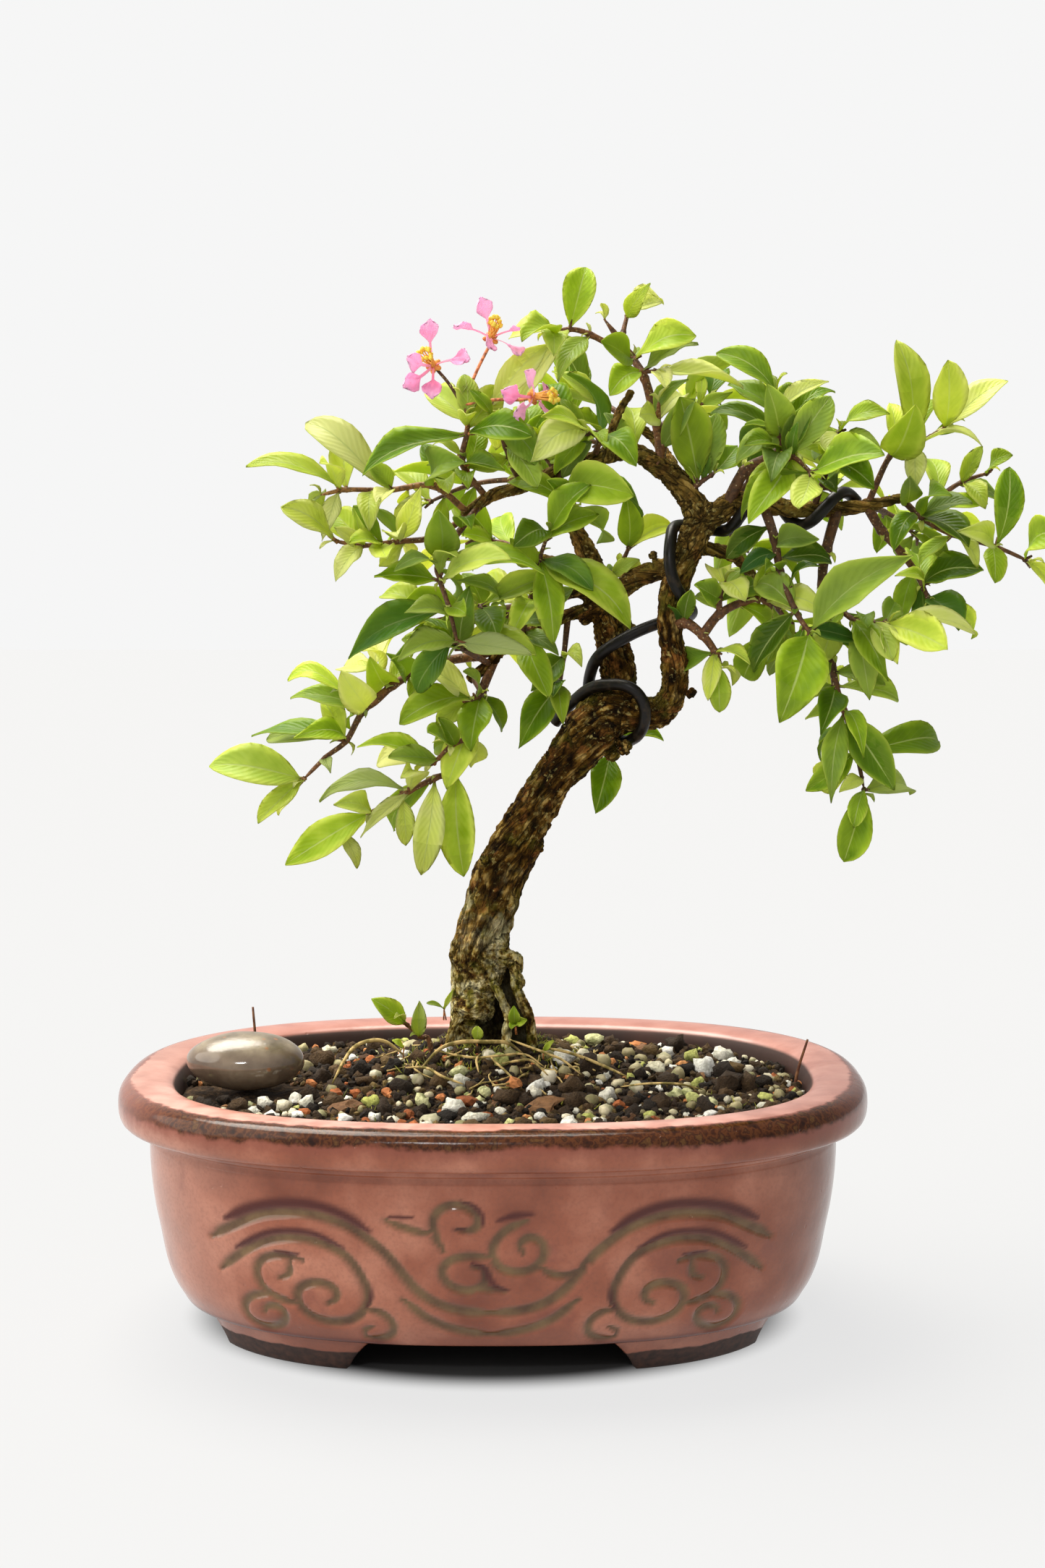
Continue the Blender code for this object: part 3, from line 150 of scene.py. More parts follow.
# Glaze that pooled dark along the upper edge of some strokes, given the same way
SIDE_POOLS = [
    (1.25, [(-60, 36.1), (-53.5, 39.3), (-47, 41.1), (-41, 41.7), (-36, 41.2), (-31, 39.5), (-26, 36.3)]),
    (0.8, [(-58, 29.6), (-50, 33.9), (-44, 35.2), (-38, 34.9), (-32, 32.2)]),
    (0.7, [(-48, 29.8), (-42.5, 29.8)]),
    (0.6, [(-26.6, 24), (-26.8, 20.5), (-28.4, 17.6)]),
]
MIDDLE_POOLS = [
    (0.6, [(-6.5, 43.4), (-3.4, 42.2), (-1.6, 39.8), (-1.8, 37.9)]),
    (0.8, [(-7.4, 37.1), (-5.4, 36.9)]),
    (0.7, [(-21.5, 39.8), (-16.5, 39.6)]),
    (0.9, [(1.8, 39.2), (5, 40.2), (9, 40.6)]),
    (0.8, [(-4, 29.2), (-1.4, 28.1), (-0.2, 25.6), (1.2, 23.8), (3.6, 22.9)]),
]

# Soil and what lies on it
SOIL_EDGE = 55.0
SOIL_RISE = 8.0
SOIL_SPREAD = 24.0
STONE_CENTRE = Vector((-58.8, -8.0, 63.2))
STONE_HALF = (14.3, 10.4, 7.0)
TRUNK_FOOT = Vector((-0.5, 12.0, 62.0))

# Dry roots and straws on the soil: radius and route
STRAWS = [
    (0.5, [(-17, -8, 61.5), (-12.7, -5, 65.4), (-7.6, -3, 66.6), (-1.8, -2, 66.4), (3.3, -1, 66),
        (7, 1, 63)]),
    (0.32, [(-14.1, -5, 65.1), (-9.5, -6, 64.1), (-4.1, -7, 63.6), (0.7, -7, 64), (7.5, -6, 64.2),
        (12, -7, 61.5)]),
    (0.34, [(3.8, 0, 66.6), (8, -2, 65.4), (12.8, -4, 64), (16.7, -5, 62.5), (21, -7, 59.5)]),
    (0.3, [(-0.7, -7, 63.9), (0.7, -9, 62.8), (3.4, -12, 61), (6, -14, 58.5)]),
    (0.5, [(-38.3, -9, 57.8), (-36.1, -4, 61.8), (-33.8, 0, 64.6), (-30.3, 2, 65.8), (-26.3, 3, 65.4),
        (-22, 4, 62)]),
    (0.35, [(2, -9, 62.6), (6, -9.5, 63.4), (9.2, -8.5, 63.2), (13, -10, 60)]),
    (0.35, [(-21, -6, 61), (-16, -9, 61.6), (-12, -13, 60.4), (-7, -15, 59)]),
    (0.4, [(12, 3, 64), (18, 0, 63.4), (25, -1, 61), (32, -4, 58.4)]),
    (0.3, [(-3, -6, 64.4), (-4, -8.5, 63.4), (-3.4, -12, 61.2)]),
    (0.3, [(30, -16, 58.6), (36, -19, 60), (43, -20, 60.2), (49, -18, 58.4)]),
]
# Sprouts at the trunk's foot: foot, tip, width, turn of the face to the front, youth
SPROUTS = [((-4.2, 2.4, 66), (-3.8, 1.6, 69.6), 3.2, 85, 0.62),
    ((5.2, 3, 70), (4.9, 1.6, 74.6), 3.2, 80, 0.45), ((5.2, 3, 70), (8, 1.4, 71.2), 2.8, 70, 0.5),
    ((5.2, 3, 70), (4.2, 0.6, 69.2), 2.6, 60, 0.4), ((-12.2, 6, 73), (-16.4, 5.4, 74.6), 1.4, 30, 0.7),
    ((-12.2, 6, 73), (-9.9, 5.2, 78), 1.6, 80, 0.65), ((12, 0, 64), (14.4, -2, 66.8), 1.6, 60, 0.6),
    ((-22, 4, 64), (-24.6, 2.4, 66), 1.8, 50, 0.6)]

CRUMB_PITCH = 1.95
GRAIN_TRIES = 5200
MOSS_BLADES = 1500
MOSS_BY_TRUNK = 1100
STRAW_THREADS = 42
# Half length and half depth of the ground where each of them is tried
GRAIN_REACH = (76, 54)
CRUMB_REACH = (76, 52)
MOSS_REACH = (70, 48)
# The larger grains that show in the photo: x, y, half width, half height
LARGE_GRAINS = {
    "pumice": [(-43, 35, 2.3, 1.4), (-36, 24, 1.2, 1), (-8, -12, 2.1, 1.6), (-50, -14, 2.1, 1.7),
        (-46, -20, 1.6, 1.5), (-43, -22, 1.9, 1.5), (-22, -38, 1.8, 1), (-9, -29, 2.7, 1.7),
        (1, -16, 1.2, 0.8), (10, -18, 1.6, 1.4), (-4, -37, 3.3, 1.4), (2, -31, 1.4, 1), (11, -36, 1.7, 1.1),
        (17, 4, 3.8, 1.9), (40, 14, 3, 1.4), (52, 12, 2.9, 2.6), (58, 29, 2.6, 2.1), (66, 30, 3.8, 2.8),
        (71, 20, 2.3, 2), (27, -17, 2, 1.9), (55, -18, 1, 0.9), (-57, -17, 2.4, 1.6), (-53, -22, 2.1, 1.5),
        (-48, -26, 2, 1.4), (-55, -28, 1.6, 1.1), (-50, -33, 1.8, 1.2), (-44, -34, 1.6, 1.1),
        (-33, -39, 1.8, 1.1)],
    "pebbles": [(-47, 16, 1.9, 1.9), (-39, 19, 1.6, 1.2), (-32, 41, 1.7, 1.7), (-22, 33, 2.8, 1.9),
        (-15, 26, 2.6, 1.4), (-1, -1, 1.8, 1.4), (4, 0, 1.8, 1.2), (13, 3, 1.8, 1.3), (16, 9, 1.3, 1.2),
        (-23, 10, 1.3, 1.1), (-22, -6, 1.8, 1.2), (-18, -8, 1.7, 1.5), (5, -7, 1.4, 1.4),
        (-39, -32, 1.7, 1.2), (-14, -37, 2.5, 1.3), (13, -8, 2.3, 1.8), (17, -4, 1.6, 1.4),
        (27, 11, 2.1, 2), (22, 15, 1.9, 1.5), (33, 45, 1.7, 1.2), (30, 25, 1.8, 1.5), (34, 29, 1.9, 1.6),
        (37, 25, 1.9, 1.4), (35, 13, 1.8, 1.5), (43, 26, 2.3, 1.7), (45, 6, 2.1, 2), (63, 14, 1.5, 1.3),
        (67, 7, 1.3, 1.1), (30, -4, 1.9, 1.3), (34, -9, 2.3, 1.7), (23, -22, 2, 1.7), (26, -30, 2.1, 1.5),
        (17, -36, 1.5, 1), (46, -25, 1.7, 1.1), (26, -2, 1.4, 1.1)],
    "mossy": [(-8, -7, 2.2, 1.6), (-28, -23, 2.4, 1.7), (-16, -25, 1.8, 2.1), (-2, -18, 1.7, 1.5),
        (26, 46, 2.4, 1.5), (38, 48, 1.7, 1.5), (50, 26, 2, 2.1), (49, -3, 1.9, 1.8), (33, 1, 1.2, 1),
        (22, -34, 1.7, 1.1), (43, -14, 2.1, 1.3), (47, -18, 1.9, 1.4), (51, -21, 1.9, 1.4),
        (64, -14, 2.1, 1), (20, 46, 2.4, 1.3)],
    "clay": [(-47, 41, 1.1, 1), (-44, -3, 1.9, 1.4), (-37, -13, 1.6, 1.5), (-33, -11, 1.2, 1),
        (-25, -14, 1.4, 1), (-43, -31, 1.7, 1.2), (-19, -33, 1.2, 1.2), (-6, -23, 3, 1.4),
        (5, -13, 2.2, 1.6), (-1, -33, 1.7, 1.2), (-12, -19, 1.4, 1), (61, 2, 2.4, 1.3), (29, -25, 1.7, 1.4),
        (37, -18, 1, 0.9), (47, 21, 1.7, 0.9), (18, -6, 1.2, 0.9), (37, 46, 2.6, 1)],
    "lumps": [(-43, 21, 2.8, 2.5), (-49, -27, 1.8, 1.4), (-16, -32, 1.7, 1.5), (3, -22, 3.1, 2),
        (-22, -13, 2.7, 2.1), (-31, -3, 2.7, 1.3), (-5, -15, 1.8, 1.5), (-38, -6, 2.7, 1.4),
        (-10, -34, 2.5, 1.3), (23, 2, 3.4, 2.8), (56, -6, 3.9, 2.6), (73, 8, 3.1, 2.6), (47, 41, 3.8, 2.4),
        (18, -14, 3.4, 2.2), (32, -22, 2.1, 1.6), (39, -24, 2.6, 2), (30, 44, 3.4, 2.1), (14, 42, 3.4, 2),
        (65, 0, 2.7, 1.9), (59, 13, 2.8, 1.7), (40, 34, 2.4, 2)],
    "chips": [(-34, -26, 4.3, 1.1), (11, -27, 4.6, 1.2), (39, 40, 3.8, 0.8)],
}

# Woody stems that grew as one with the trunk: points (x, y, z, radius)
WOOD = {
    "trunk": [(-3.4, 12, 55, 5.8), (-4.2, 12, 64, 5.2), (-4.9, 12, 69, 5.5), (-5.1, 12, 73, 5.8),
        (-4.7, 12, 77, 6.2), (-4.1, 12, 81, 6.6), (-3.2, 12, 88, 6.9), (-1.8, 12, 94.5, 6.3),
        (1.2, 12, 104, 6.5), (5, 12, 112, 6.3), (8.5, 12, 118.5, 5.4), (14.5, 12, 129, 5.1),
        (19.8, 12, 135.5, 5.9), (24, 12, 141, 6.6), (28, 12, 144.4, 6.2), (33, 12, 145.4, 5)],
    "old_stub": [(1.6, 9.8, 84.4, 2.2), (4.2, 9.2, 84.8, 2), (5.4, 8.8, 84.6, 1.9), (5.6, 8.4, 81.4, 1.6)],
    "right_root": [(4.8, 8.2, 83, 1.3), (5.2, 7.6, 78.8, 1.3), (6.5, 7.2, 75.4, 1.3), (8.1, 7, 72, 1.25),
        (9, 7, 69, 1.2), (9.6, 7, 59, 1.4)],
    "apron": [(-9.2, 8.6, 70.8, 1.8), (-7.2, 6.4, 72.8, 2.5), (-4.2, 5.2, 73.4, 2.9),
        (-1.6, 5.6, 74.2, 2.2)],
    # A stem in the hollow behind the trunk, whose bark is painted dark all over as shade
    "shaded_hollow_back": [(3.4, 14.8, 59, 4.4), (3.6, 14.8, 70, 3.9), (2.8, 14.6, 79, 3), (1, 13.4, 87, 2.6)],
    "root_spur": [(5, 7.4, 82.6, 1), (6.4, 6.6, 80.6, 0.95), (7.6, 6.4, 78.4, 0.6)],
    "front_root": [(-0.4, 5.6, 79.6, 1.1), (0.9, 4.5, 78, 1.15), (2.4, 4.1, 74.4, 1.2),
        (3.6, 4.1, 71.8, 1.25), (4.2, 4, 70.4, 1.4), (3.2, 4, 68.4, 1.25), (2.8, 4, 59, 1.3)],
    "left_root": [(-8.2, 11, 78, 1.8), (-8.8, 10.4, 70, 1.9), (-9.4, 10.4, 59, 2.2)],
    "left_front_root": [(-7.4, 6.8, 72.6, 1.4), (-9, 6.2, 69.6, 1.15), (-10.6, 5.6, 66, 1.1),
        (-11.2, 5, 58, 1.2)],
    "back_root": [(1, 17, 80, 2.2), (2, 18.6, 71, 2.3), (2, 18.6, 59, 2.4)],
    "left_leader": [(28, 14, 146, 4.8), (30.2, 15, 151, 4.5), (30.3, 16, 156.5, 4.3),
        (28.9, 17, 162.2, 4.1), (27.8, 18, 167.8, 3.6), (25.8, 19, 173.4, 3.3), (24.4, 19, 179, 3.2),
        (22.3, 20, 184.7, 2.6), (20.4, 20, 189, 2.1), (19, 21, 194, 1.8), (16, 21, 200, 1.5)],
    "left_stub": [(26, 19, 171, 1.9), (22, 17, 174, 1.7), (18, 15, 174, 1.5)],
    "cross_branch": [(25.8, 19, 171.7, 2.2), (30.3, 17, 174.6, 2.5), (35.2, 14, 177.9, 2.5),
        (40.1, 11, 179.6, 2.5), (44.3, 8, 181.2, 2.2)],
    "low_left_branch": [(27, 19, 169, 2.1), (23, 16, 170, 1.8), (14, 12, 167, 1.6), (3, 8, 161, 1.5),
        (-1, 7, 157, 1.4), (-6, 6, 153, 1.3)],
    "right_leader": [(31, 12, 145, 4.9), (38.6, 11, 144.9, 4), (41.8, 10, 146.6, 3.5),
        (43.7, 9, 151.2, 3.2), (43.7, 8, 156.8, 3.3), (42.9, 8, 162.4, 3), (42.6, 8, 168, 3.1),
        (43.2, 8, 173.5, 3.3), (44.6, 8, 179, 3.4), (47.1, 8, 184.5, 3.5), (49.2, 8, 190, 3.8),
        (51, 8, 194, 3.4)],
    "upper_left_arm": [(49.5, 8, 192, 3.4), (47.5, 8, 196, 3.1), (44.1, 7, 200.8, 3), (38.7, 6, 204.8, 2.5),
        (33, 5, 207.6, 2.2), (25, 2, 206, 1.9), (16, 0, 203, 1.7), (7, -2, 199, 1.5), (0, -3, 197, 1.4),
        (-7, -4, 192, 1.3)],
    "grey_twig": [(27, 2, 206, 1.4), (28, 3, 212, 1.2), (30, 4, 217, 1.1), (33, 4, 222, 1)],
    "right_arm": [(49, 8, 191, 3), (54.2, 8, 193.3, 2.8), (58.1, 9, 196, 2.5), (67, 9, 195, 2.2),
        (77, 10, 194, 2), (90, 10, 195, 1.6), (99, 10, 197, 1.2)],
    "inner_right_arm": [(46, 8, 185, 2), (56, 14, 184, 1.7), (61, 18, 181, 1.4), (65, 21, 176, 1.1)],
    "back_left_arm": [(27, 19, 171, 2), (24, 29, 175, 1.6), (18, 40, 181, 1.3), (9, 50, 184, 1)],
    "back_right_arm": [(45, 9, 181, 2.2), (50, 22, 187, 1.8), (58, 36, 195, 1.4), (70, 48, 200, 1)],
    "back_top_arm": [(47, 8, 196, 1.8), (44, 20, 205, 1.4), (39, 30, 213, 1.2), (32, 39, 219, 1)],
}
# Burls and pruned stubs on the bark, as (centre, half size)
BURLS = [((-8.2, 10, 88.6), 2.1), ((-8.8, 10, 85.2), 2.2), ((-8, 9, 80), 2.2), ((3.6, 8, 99), 2.2),
    ((11, 9, 112), 1.7), ((-1.5, 8, 109), 2), ((20.5, 7.5, 139), 2.6), ((26.5, 6.5, 141), 2.9),
    ((31.5, 7.5, 136.8), 2), ((29, 11, 134.8), 1.8), ((33.5, 18, 166), 1.4), ((38.5, 9.5, 183.2), 1.2),
    ((47.6, 5.6, 150), 1.4), ((22.3, 17, 168), 1.8), ((20.2, 20, 178), 1.5), ((-4.6, 4.9, 75.9), 1.5),
    ((-3.6, 5, 73.2), 1.7), ((-8.4, 9, 74.5), 1.9), ((1.6, 11, 107), 1.6), ((10.4, 7.6, 121), 1.6),
    ((16.4, 7.8, 131), 1.5)]
BARK_VOXEL = 0.5
# Lumps in the bark, as (how fine, how high)
BARK_LUMPS = [(0.2, 0.8), (0.5, 0.55), (1.1, 0.3)]

# Training wire, given from its lower to its upper end; it is then laid on the bark
WIRE = [(15, 20, 142), (17.5, 19, 147), (22, 13, 150.5), (27.7, 6, 153), (32, 4, 153.3), (36, 4.5, 150.8),
    (38.3, 5.5, 145.8), (37, 7, 141), (33.5, 9, 138.7), (29, 15, 138), (25, 20, 141), (22, 22, 147),
    (22.5, 19, 153), (24.5, 14, 157.5), (28, 11, 161), (32.3, 11, 164), (38.6, 13, 166.7), (44, 14, 168),
    (47.5, 10, 168.3), (47, 5, 169.5), (44, 3, 173), (41.6, 2.5, 178), (41.2, 2.5, 183.3), (42.4, 4, 187.8),
    (46, 10, 192), (50, 13.5, 190), (53.2, 11, 188.2), (57.7, 5, 189), (60.4, 4, 193.7), (63, 8, 198.5),
    (68, 13, 198), (73, 12, 192), (77, 6, 191), (80, 5, 196), (84, 9, 198), (88, 13, 196)]
WIRE_RADIUS = 1.45
WIRE_CLEARANCE = 0.4

# Leafy shoots, as (youth, filling, twigs). Youth is 0 for old dark leaves and 1 for lime yellow ones, and
# filling says how many smaller leaves fill the gaps, for each leaf that the CAD has. A twig is (route,
# leaves), with its first and last radius where they aren't TWIG_RADII. The first twig grows from the wood.
# A leaf is (number of its route point, its tip's x, y and z, width, turn of its face to the front).
TWIG_RADII = (0.9, 0.6)
SHOOTS = {
    "upper_left_shoot": (0.88, 1.4, [
        ([(-6, -4, 193), (-14, -6, 199), (-24, -7, 198), (-34, -8, 198), (-39, -8, 197)],
         [(3, -57, -10, 204, 9, 25), (3, -39, 1, 209, 8, 70), (2, -44, -2, 214, 10, 40),
         (2, -26, -17, 194, 6, 50), (1, -7, -21, 204, 9, 70)])]),
    "left_spur_shoot": (0.76, 1.4, [
        ([(-6, -4, 192), (-14, -8, 187), (-22, -11, 186), (-30, -12, 185), (-36, -13, 186)],
         [(4, -48, -18, 194, 8, 50), (3, -36, -17, 177, 6, 45), (3, -38, -2, 193, 8, 70),
         (2, -22, -12, 200, 7, 85), (2, -16, -20, 190, 6, 60)])]),
    "front_left_shoot": (0.54, 0.7, [
        ([(-3, -3, 195), (-12, -13, 182), (-12, -15, 177), (-10, -18, 171), (-8, -20, 163)],
         [(1, -12, -25, 193, 9, 85), (2, -27, -18, 178, 8, 60), (1, 12, -18, 179, 10, 40),
         (2, 7, -24, 179, 9, 60), (3, -33, -22, 160, 11, 55), (3, -6, -29, 170, 6, 60),
         (4, -22, -29, 159, 9, 60), (4, 9, -24, 160, 8, 50)])]),
    "flower_shoot": (0.54, 1, [
        ([(-2, -3, 197), (-7, -6, 204), (-6, -7, 211), (-6, -7, 214), (-7, -7, 219)],
         [(2, -30, -14, 202, 9, 40), (3, -15, 3, 221, 8, 75), (3, -6, 1, 222, 6, 60),
         (2, 9, -18, 210, 9, 60), (1, 3, -16, 202, 7, 50)])]),
    "upper_front_shoot": (0.52, 1.2, [
        ([(7, -2, 199), (5, -6, 203), (3, -8, 208), (1, -7, 214), (-1, -4, 217)],
         [(3, 3, -22, 210, 8, 80), (4, 17, -8, 227, 9, 60), (2, 12, -16, 202, 7, 60)])]),
    "crown_shoot": (0.62, 0.4, [
        ([(39, 5, 204), (40, 6, 209), (38, 6, 218), (36, 6, 225), (33, 6, 230),
         (27, 6, 238)], [], 1.6, 0.9),
        ([(33, 6, 230), (23, 4, 235), (18, 2, 236), (14, 0, 235)], [(2, 22, 4, 251, 8, 80),
         (3, 4, -8, 227, 8, 60), (3, 4, 14, 236, 9, 60), (1, 14, -6, 223, 8, 50),
         (2, 8, -8, 220, 7, 50)]),
        ([(35, 6, 227), (33, 2, 229), (35, -1, 226), (38, -2, 226)], [(1, 47, -6, 234, 9, 50),
         (2, 48, -4, 232, 7, 50), (3, 59, -2, 223, 8, 35), (1, 25, -11, 232, 8, 75),
         (2, 27, -11, 222, 7, 60)]),
        ([(31, 6, 233), (31, 8, 236), (32, 10, 240)], [(2, 41, 14, 244, 7, 40)]),
        ([(38, 6, 217), (39, 2, 215), (39, 0, 218)], [(1, 34, -10, 215, 7, 80),
         (1, 46, 12, 221, 7, 40)])]),
    "fork_shoot": (0.42, 1.3, [
        ([(46, 7, 197), (49, 5, 200), (52, 4, 202)], [(1, 44, -2, 220, 12, 80), (1, 38, 15, 205, 8, 30),
         (2, 60, 13, 209, 8, 60)])]),
    "right_crown_shoot": (0.42, 0.8, [
        ([(56, 8, 195), (60, 6, 203), (65, 4, 206), (68, 3, 208)], [], 1.8, 1.1),
        ([(68, 3, 208), (68, 2, 211), (67, 2, 217), (67, 2, 221)], [(3, 53, 2, 231, 8, 50),
         (1, 64, -8, 222, 8, 80), (2, 79, 0, 224, 6, 45), (2, 56, 6, 224, 7, 50),
         (1, 52, 8, 218, 6, 40), (1, 57, -6, 205, 7, 60), (1, 82, 10, 222, 7, 40)]),
        ([(65, 4, 206), (70, -4, 206), (74, -8, 202)], [(2, 88, -23, 206, 11, 60),
         (2, 70, -20, 194, 8, 80), (1, 59, -14, 190, 9, 55), (1, 72, 7, 219, 9, 75),
         (2, 57, -4, 193, 8, 50)])]),
    "right_high_shoot": (0.4, 0.7, [
        ([(77, 10, 194), (80, 4, 205), (82, 4, 212)], [(2, 92, -7, 216, 8, 45),
         (1, 76, -10, 209, 8, 60), (2, 78, -6, 208, 6, 50), (1, 89, -8, 201, 8, 70)])]),
    "far_right_top_shoot": (0.52, 0.5, [
        ([(90, 10, 195), (95, 6, 207), (100, 4, 209), (107, 2, 213)], [(2, 96, 4, 234, 9, 35),
         (3, 106, -6, 228, 9, 85), (3, 122, 4, 225, 7, 50), (1, 98, -9, 218, 10, 80),
         (2, 115, -2, 209, 6, 15), (2, 100, -6, 204, 6, 50)])]),
    "far_right_shoot": (0.48, 0.7, [
        ([(98, 10, 197), (103, 8, 192), (110, 6, 188), (120, 4, 185), (127, 4, 182)],
         [(3, 110, -4, 189, 7, 70), (3, 123, 4, 204, 8, 75), (1, 112, -5, 187, 9, 40),
         (2, 103, 14, 180, 7, 40), (4, 135, -10, 188, 9, 60), (4, 134, 6, 172, 7, 40)]),
        ([(103, 8, 192), (108, 13, 197), (114, 16, 201), (120, 16, 203)], [(0, 107, -7, 197, 9, 60),
         (1, 107, 25, 207, 7, 50), (3, 124, 6, 207, 6, 60), (2, 118, 7, 195, 6, 50)])]),
    "right_hanging_shoot": (0.4, 0.7, [
        ([(90, 10, 195), (94, 12, 189), (99, 14, 184), (103, 15, 179)], [], 1.4, 1.1),
        ([(103, 15, 179), (104, 12, 176), (105, 10, 173)], [(1, 116, 1, 180, 9, 60),
         (2, 110, -3, 166, 9, 70), (1, 104, 26, 184, 8, 60), (2, 117, 16, 163, 8, 50)])]),
    "front_hanging_shoot": (0.14, 2, [
        ([(65, 9, 195), (67, 3, 187), (68, -1, 179), (71, -6, 170), (74, -9, 165)],
         [(4, 96, -18, 183, 13, 60), (4, 66, -21, 145, 13, 80), (3, 61, -6, 156, 8, 40),
         (3, 63, 3, 176, 9, 60)], 1.4, 0.7)]),
    "mid_hanging_shoot": (0.46, 1.2, [
        ([(83, 10, 194.5), (80, 8, 184), (79, 6, 176), (81, 4, 159), (82, 3, 152), (84, 2, 146),
         (87, 2, 136), (89, 2, 127)], [(4, 77, -10, 142, 9, 70), (4, 98, 6, 149, 8, 40),
         (5, 80, -6, 125, 8, 30), (5, 93, -6, 127, 10, 80), (5, 87, -10, 136, 6, 50),
         (6, 79, 14, 127, 9, 70), (6, 114, 6, 128, 10, 55), (7, 102, 13, 125, 9, 50),
         (7, 84, 0, 110, 9, 80)], 1.5, 0.6),
        ([(79, 6, 175), (85, -2, 168), (92, -6, 167)], [(2, 113, -8, 165, 8, 20),
         (2, 106, -15, 158, 10, 70), (1, 92, -12, 154, 9, 80), (1, 89, -4, 149, 9, 75),
         (2, 96, 3, 172, 6, 70)])]),
    "low_right_shoot": (0.46, 0.7, [
        ([(43, 8, 166), (46, 5, 167), (50, 3, 164), (53, 3, 160), (54, 2, 157)], [(3, 61, -6, 157, 6, 30),
         (3, 47, 12, 153, 7, 70), (4, 54, 0, 146, 6, 50)], 1.7, 0.9),
        ([(50, 3, 164), (54, 3, 169), (60, 3, 172), (65, 4, 172), (67, 6, 165)],
         [(3, 72, -12, 170, 9, 60), (4, 61, 18, 153, 9, 70), (4, 72, 19, 157, 8, 50)], 1.3, 0.8),
        ([(54, 3, 169), (54, 2, 173), (55, 2, 176)], [(1, 47, -8, 176, 7, 80), (2, 56, -10, 174, 7, 50),
         (2, 54, 16, 177, 7, 40)])]),
    "outer_left_shoot": (0.66, 0.4, [
        ([(1, 8, 161), (-4, 7, 159), (-15, 4, 157), (-24, 2, 152), (-31, 0, 146), (-35, -1, 139),
         (-40, -2, 135), (-45, -3, 130)], [(7, -67, -6, 134, 11, 55), (7, -56, -8, 121, 6, 60),
         (7, -52, 2, 121, 5, 60), (5, -46, -11, 141, 8, 55), (5, -58, 2, 140, 9, 35),
         (5, -39, -4, 150, 6, 70), (5, -54, 6, 144, 7, 40)], 1.4, 0.6),
        ([(-24, 2, 152), (-30, -2, 147), (-34, -4, 150)], [(2, -49, 0, 154, 6, 30),
         (1, -35, -13, 156, 8, 80), (1, -46, 8, 145, 8, 50)]),
        ([(-18, 3, 155), (-26, 8, 152), (-29, 12, 156)], [(1, -29, -5, 159, 8, 85),
         (2, -38, 24, 156, 8, 60), (1, -19, 20, 158, 8, 50), (2, -26, 22, 160, 6, 40)])]),
    "inner_left_shoot": (0.6, 0.5, [
        ([(1, 8, 160), (-3, 5, 150), (-6, 3, 141), (-9, 2, 132), (-14, 0, 130), (-20, -2, 127),
         (-29, -3, 122), (-37, -3, 118)], [(6, -49, -8, 110, 9, 55), (4, -17, -8, 108, 8, 80),
         (3, -7, -4, 107, 10, 85), (5, -42, 4, 124, 8, 40), (5, -21, -14, 132, 7, 60),
         (4, -25, 12, 116, 7, 60), (6, -37, -11, 125, 6, 60)], 1.3, 0.6),
        ([(-5, 4, 144), (-6, -2, 140), (-10, -5, 138), (-14, -6, 134)], [(0, -11, -6, 128, 9, 70),
         (3, -32, -8, 138, 9, 35), (2, -15, -17, 142, 7, 60), (3, -34, 0, 129, 8, 60),
         (1, -5, 8, 133, 6, 60)])]),
    "left_tip_shoot": (0.46, 0.5, [
        ([(-5, 6, 154), (-3, 1, 150), (-5, -3, 149)], [(2, -21, -8, 142, 9, 50),
         (1, -10, -11, 143, 9, 60), (1, 2, 11, 141, 7, 50), (2, -19, 0, 152, 8, 50)])]),
    "left_front_shoot": (0.46, 0.7, [
        ([(-1, 7, 157), (-7, -8, 161), (-9, -14, 163)], [(1, -23, -22, 159, 9, 55),
         (1, 10, -22, 160, 8, 45), (2, -18, -8, 151, 8, 60), (2, -6, -2, 169, 7, 40)])]),
    "small_hanging_shoot": (0.4, 0.7, [
        ([(18, 14, 168), (17, 10, 159), (16, 8, 152)], [(2, 6, 2, 137, 10, 65), (2, 17, 0, 141, 5, 60),
         (1, 9, 3, 151, 7, 70)])]),
    "front_riser_shoot": (0.3, 0.7, [
        ([(5, 9, 162), (7, 3, 165), (9, -2, 173), (11, -6, 182), (13, -9, 188)],
         [(4, 22, -15, 199, 8, 60), (4, 5, -17, 185, 8, 50), (3, 32, -14, 166, 11, 45),
         (3, 17, -16, 165, 8, 70), (1, 13, -10, 150, 8, 75), (2, 5, -14, 162, 6, 70),
         (3, 23, -18, 175, 7, 60)])]),
    "riser_low_shoot": (0.35, 0.7, [
        ([(9, 10, 164), (3, -1, 169), (-3, -7, 171)], [(1, -8, -14, 177, 7, 50),
         (2, 1, -22, 165, 8, 60), (2, 14, -4, 178, 7, 50)])]),
    "under_arm_shoot": (0.35, 0.7, [
        ([(16, 0, 203), (16, -4, 198), (18, -8, 194)], [(1, 32, -15, 197, 11, 75),
         (2, 4, -15, 192, 7, 50), (2, 25, 4, 186, 9, 55), (1, 35, 8, 190, 10, 35)])]),
    "over_arm_shoot": (0.42, 0.7, [
        ([(24, 2, 206), (25, -4, 211), (22, -8, 211)], [(1, 33, -16, 204, 8, 45),
         (2, 12, -20, 215, 9, 45), (2, 8, -16, 204, 9, 60), (1, 14, 3, 211, 8, 60)])]),
    "left_top_shoot": (0.55, 0.7, [
        ([(17, 21, 198), (13, 21, 207), (8, 22, 210)], [(2, 4, 6, 213, 9, 60), (1, 16, 9, 218, 9, 70),
         (2, 8, 33, 220, 8, 50), (1, 22, 9, 209, 8, 50)])]),
    "leader_shoot": (0.4, 0.7, [
        ([(26, 19, 176), (31, 20, 181), (33, 20, 185)], [(2, 32, 12, 198, 7, 80),
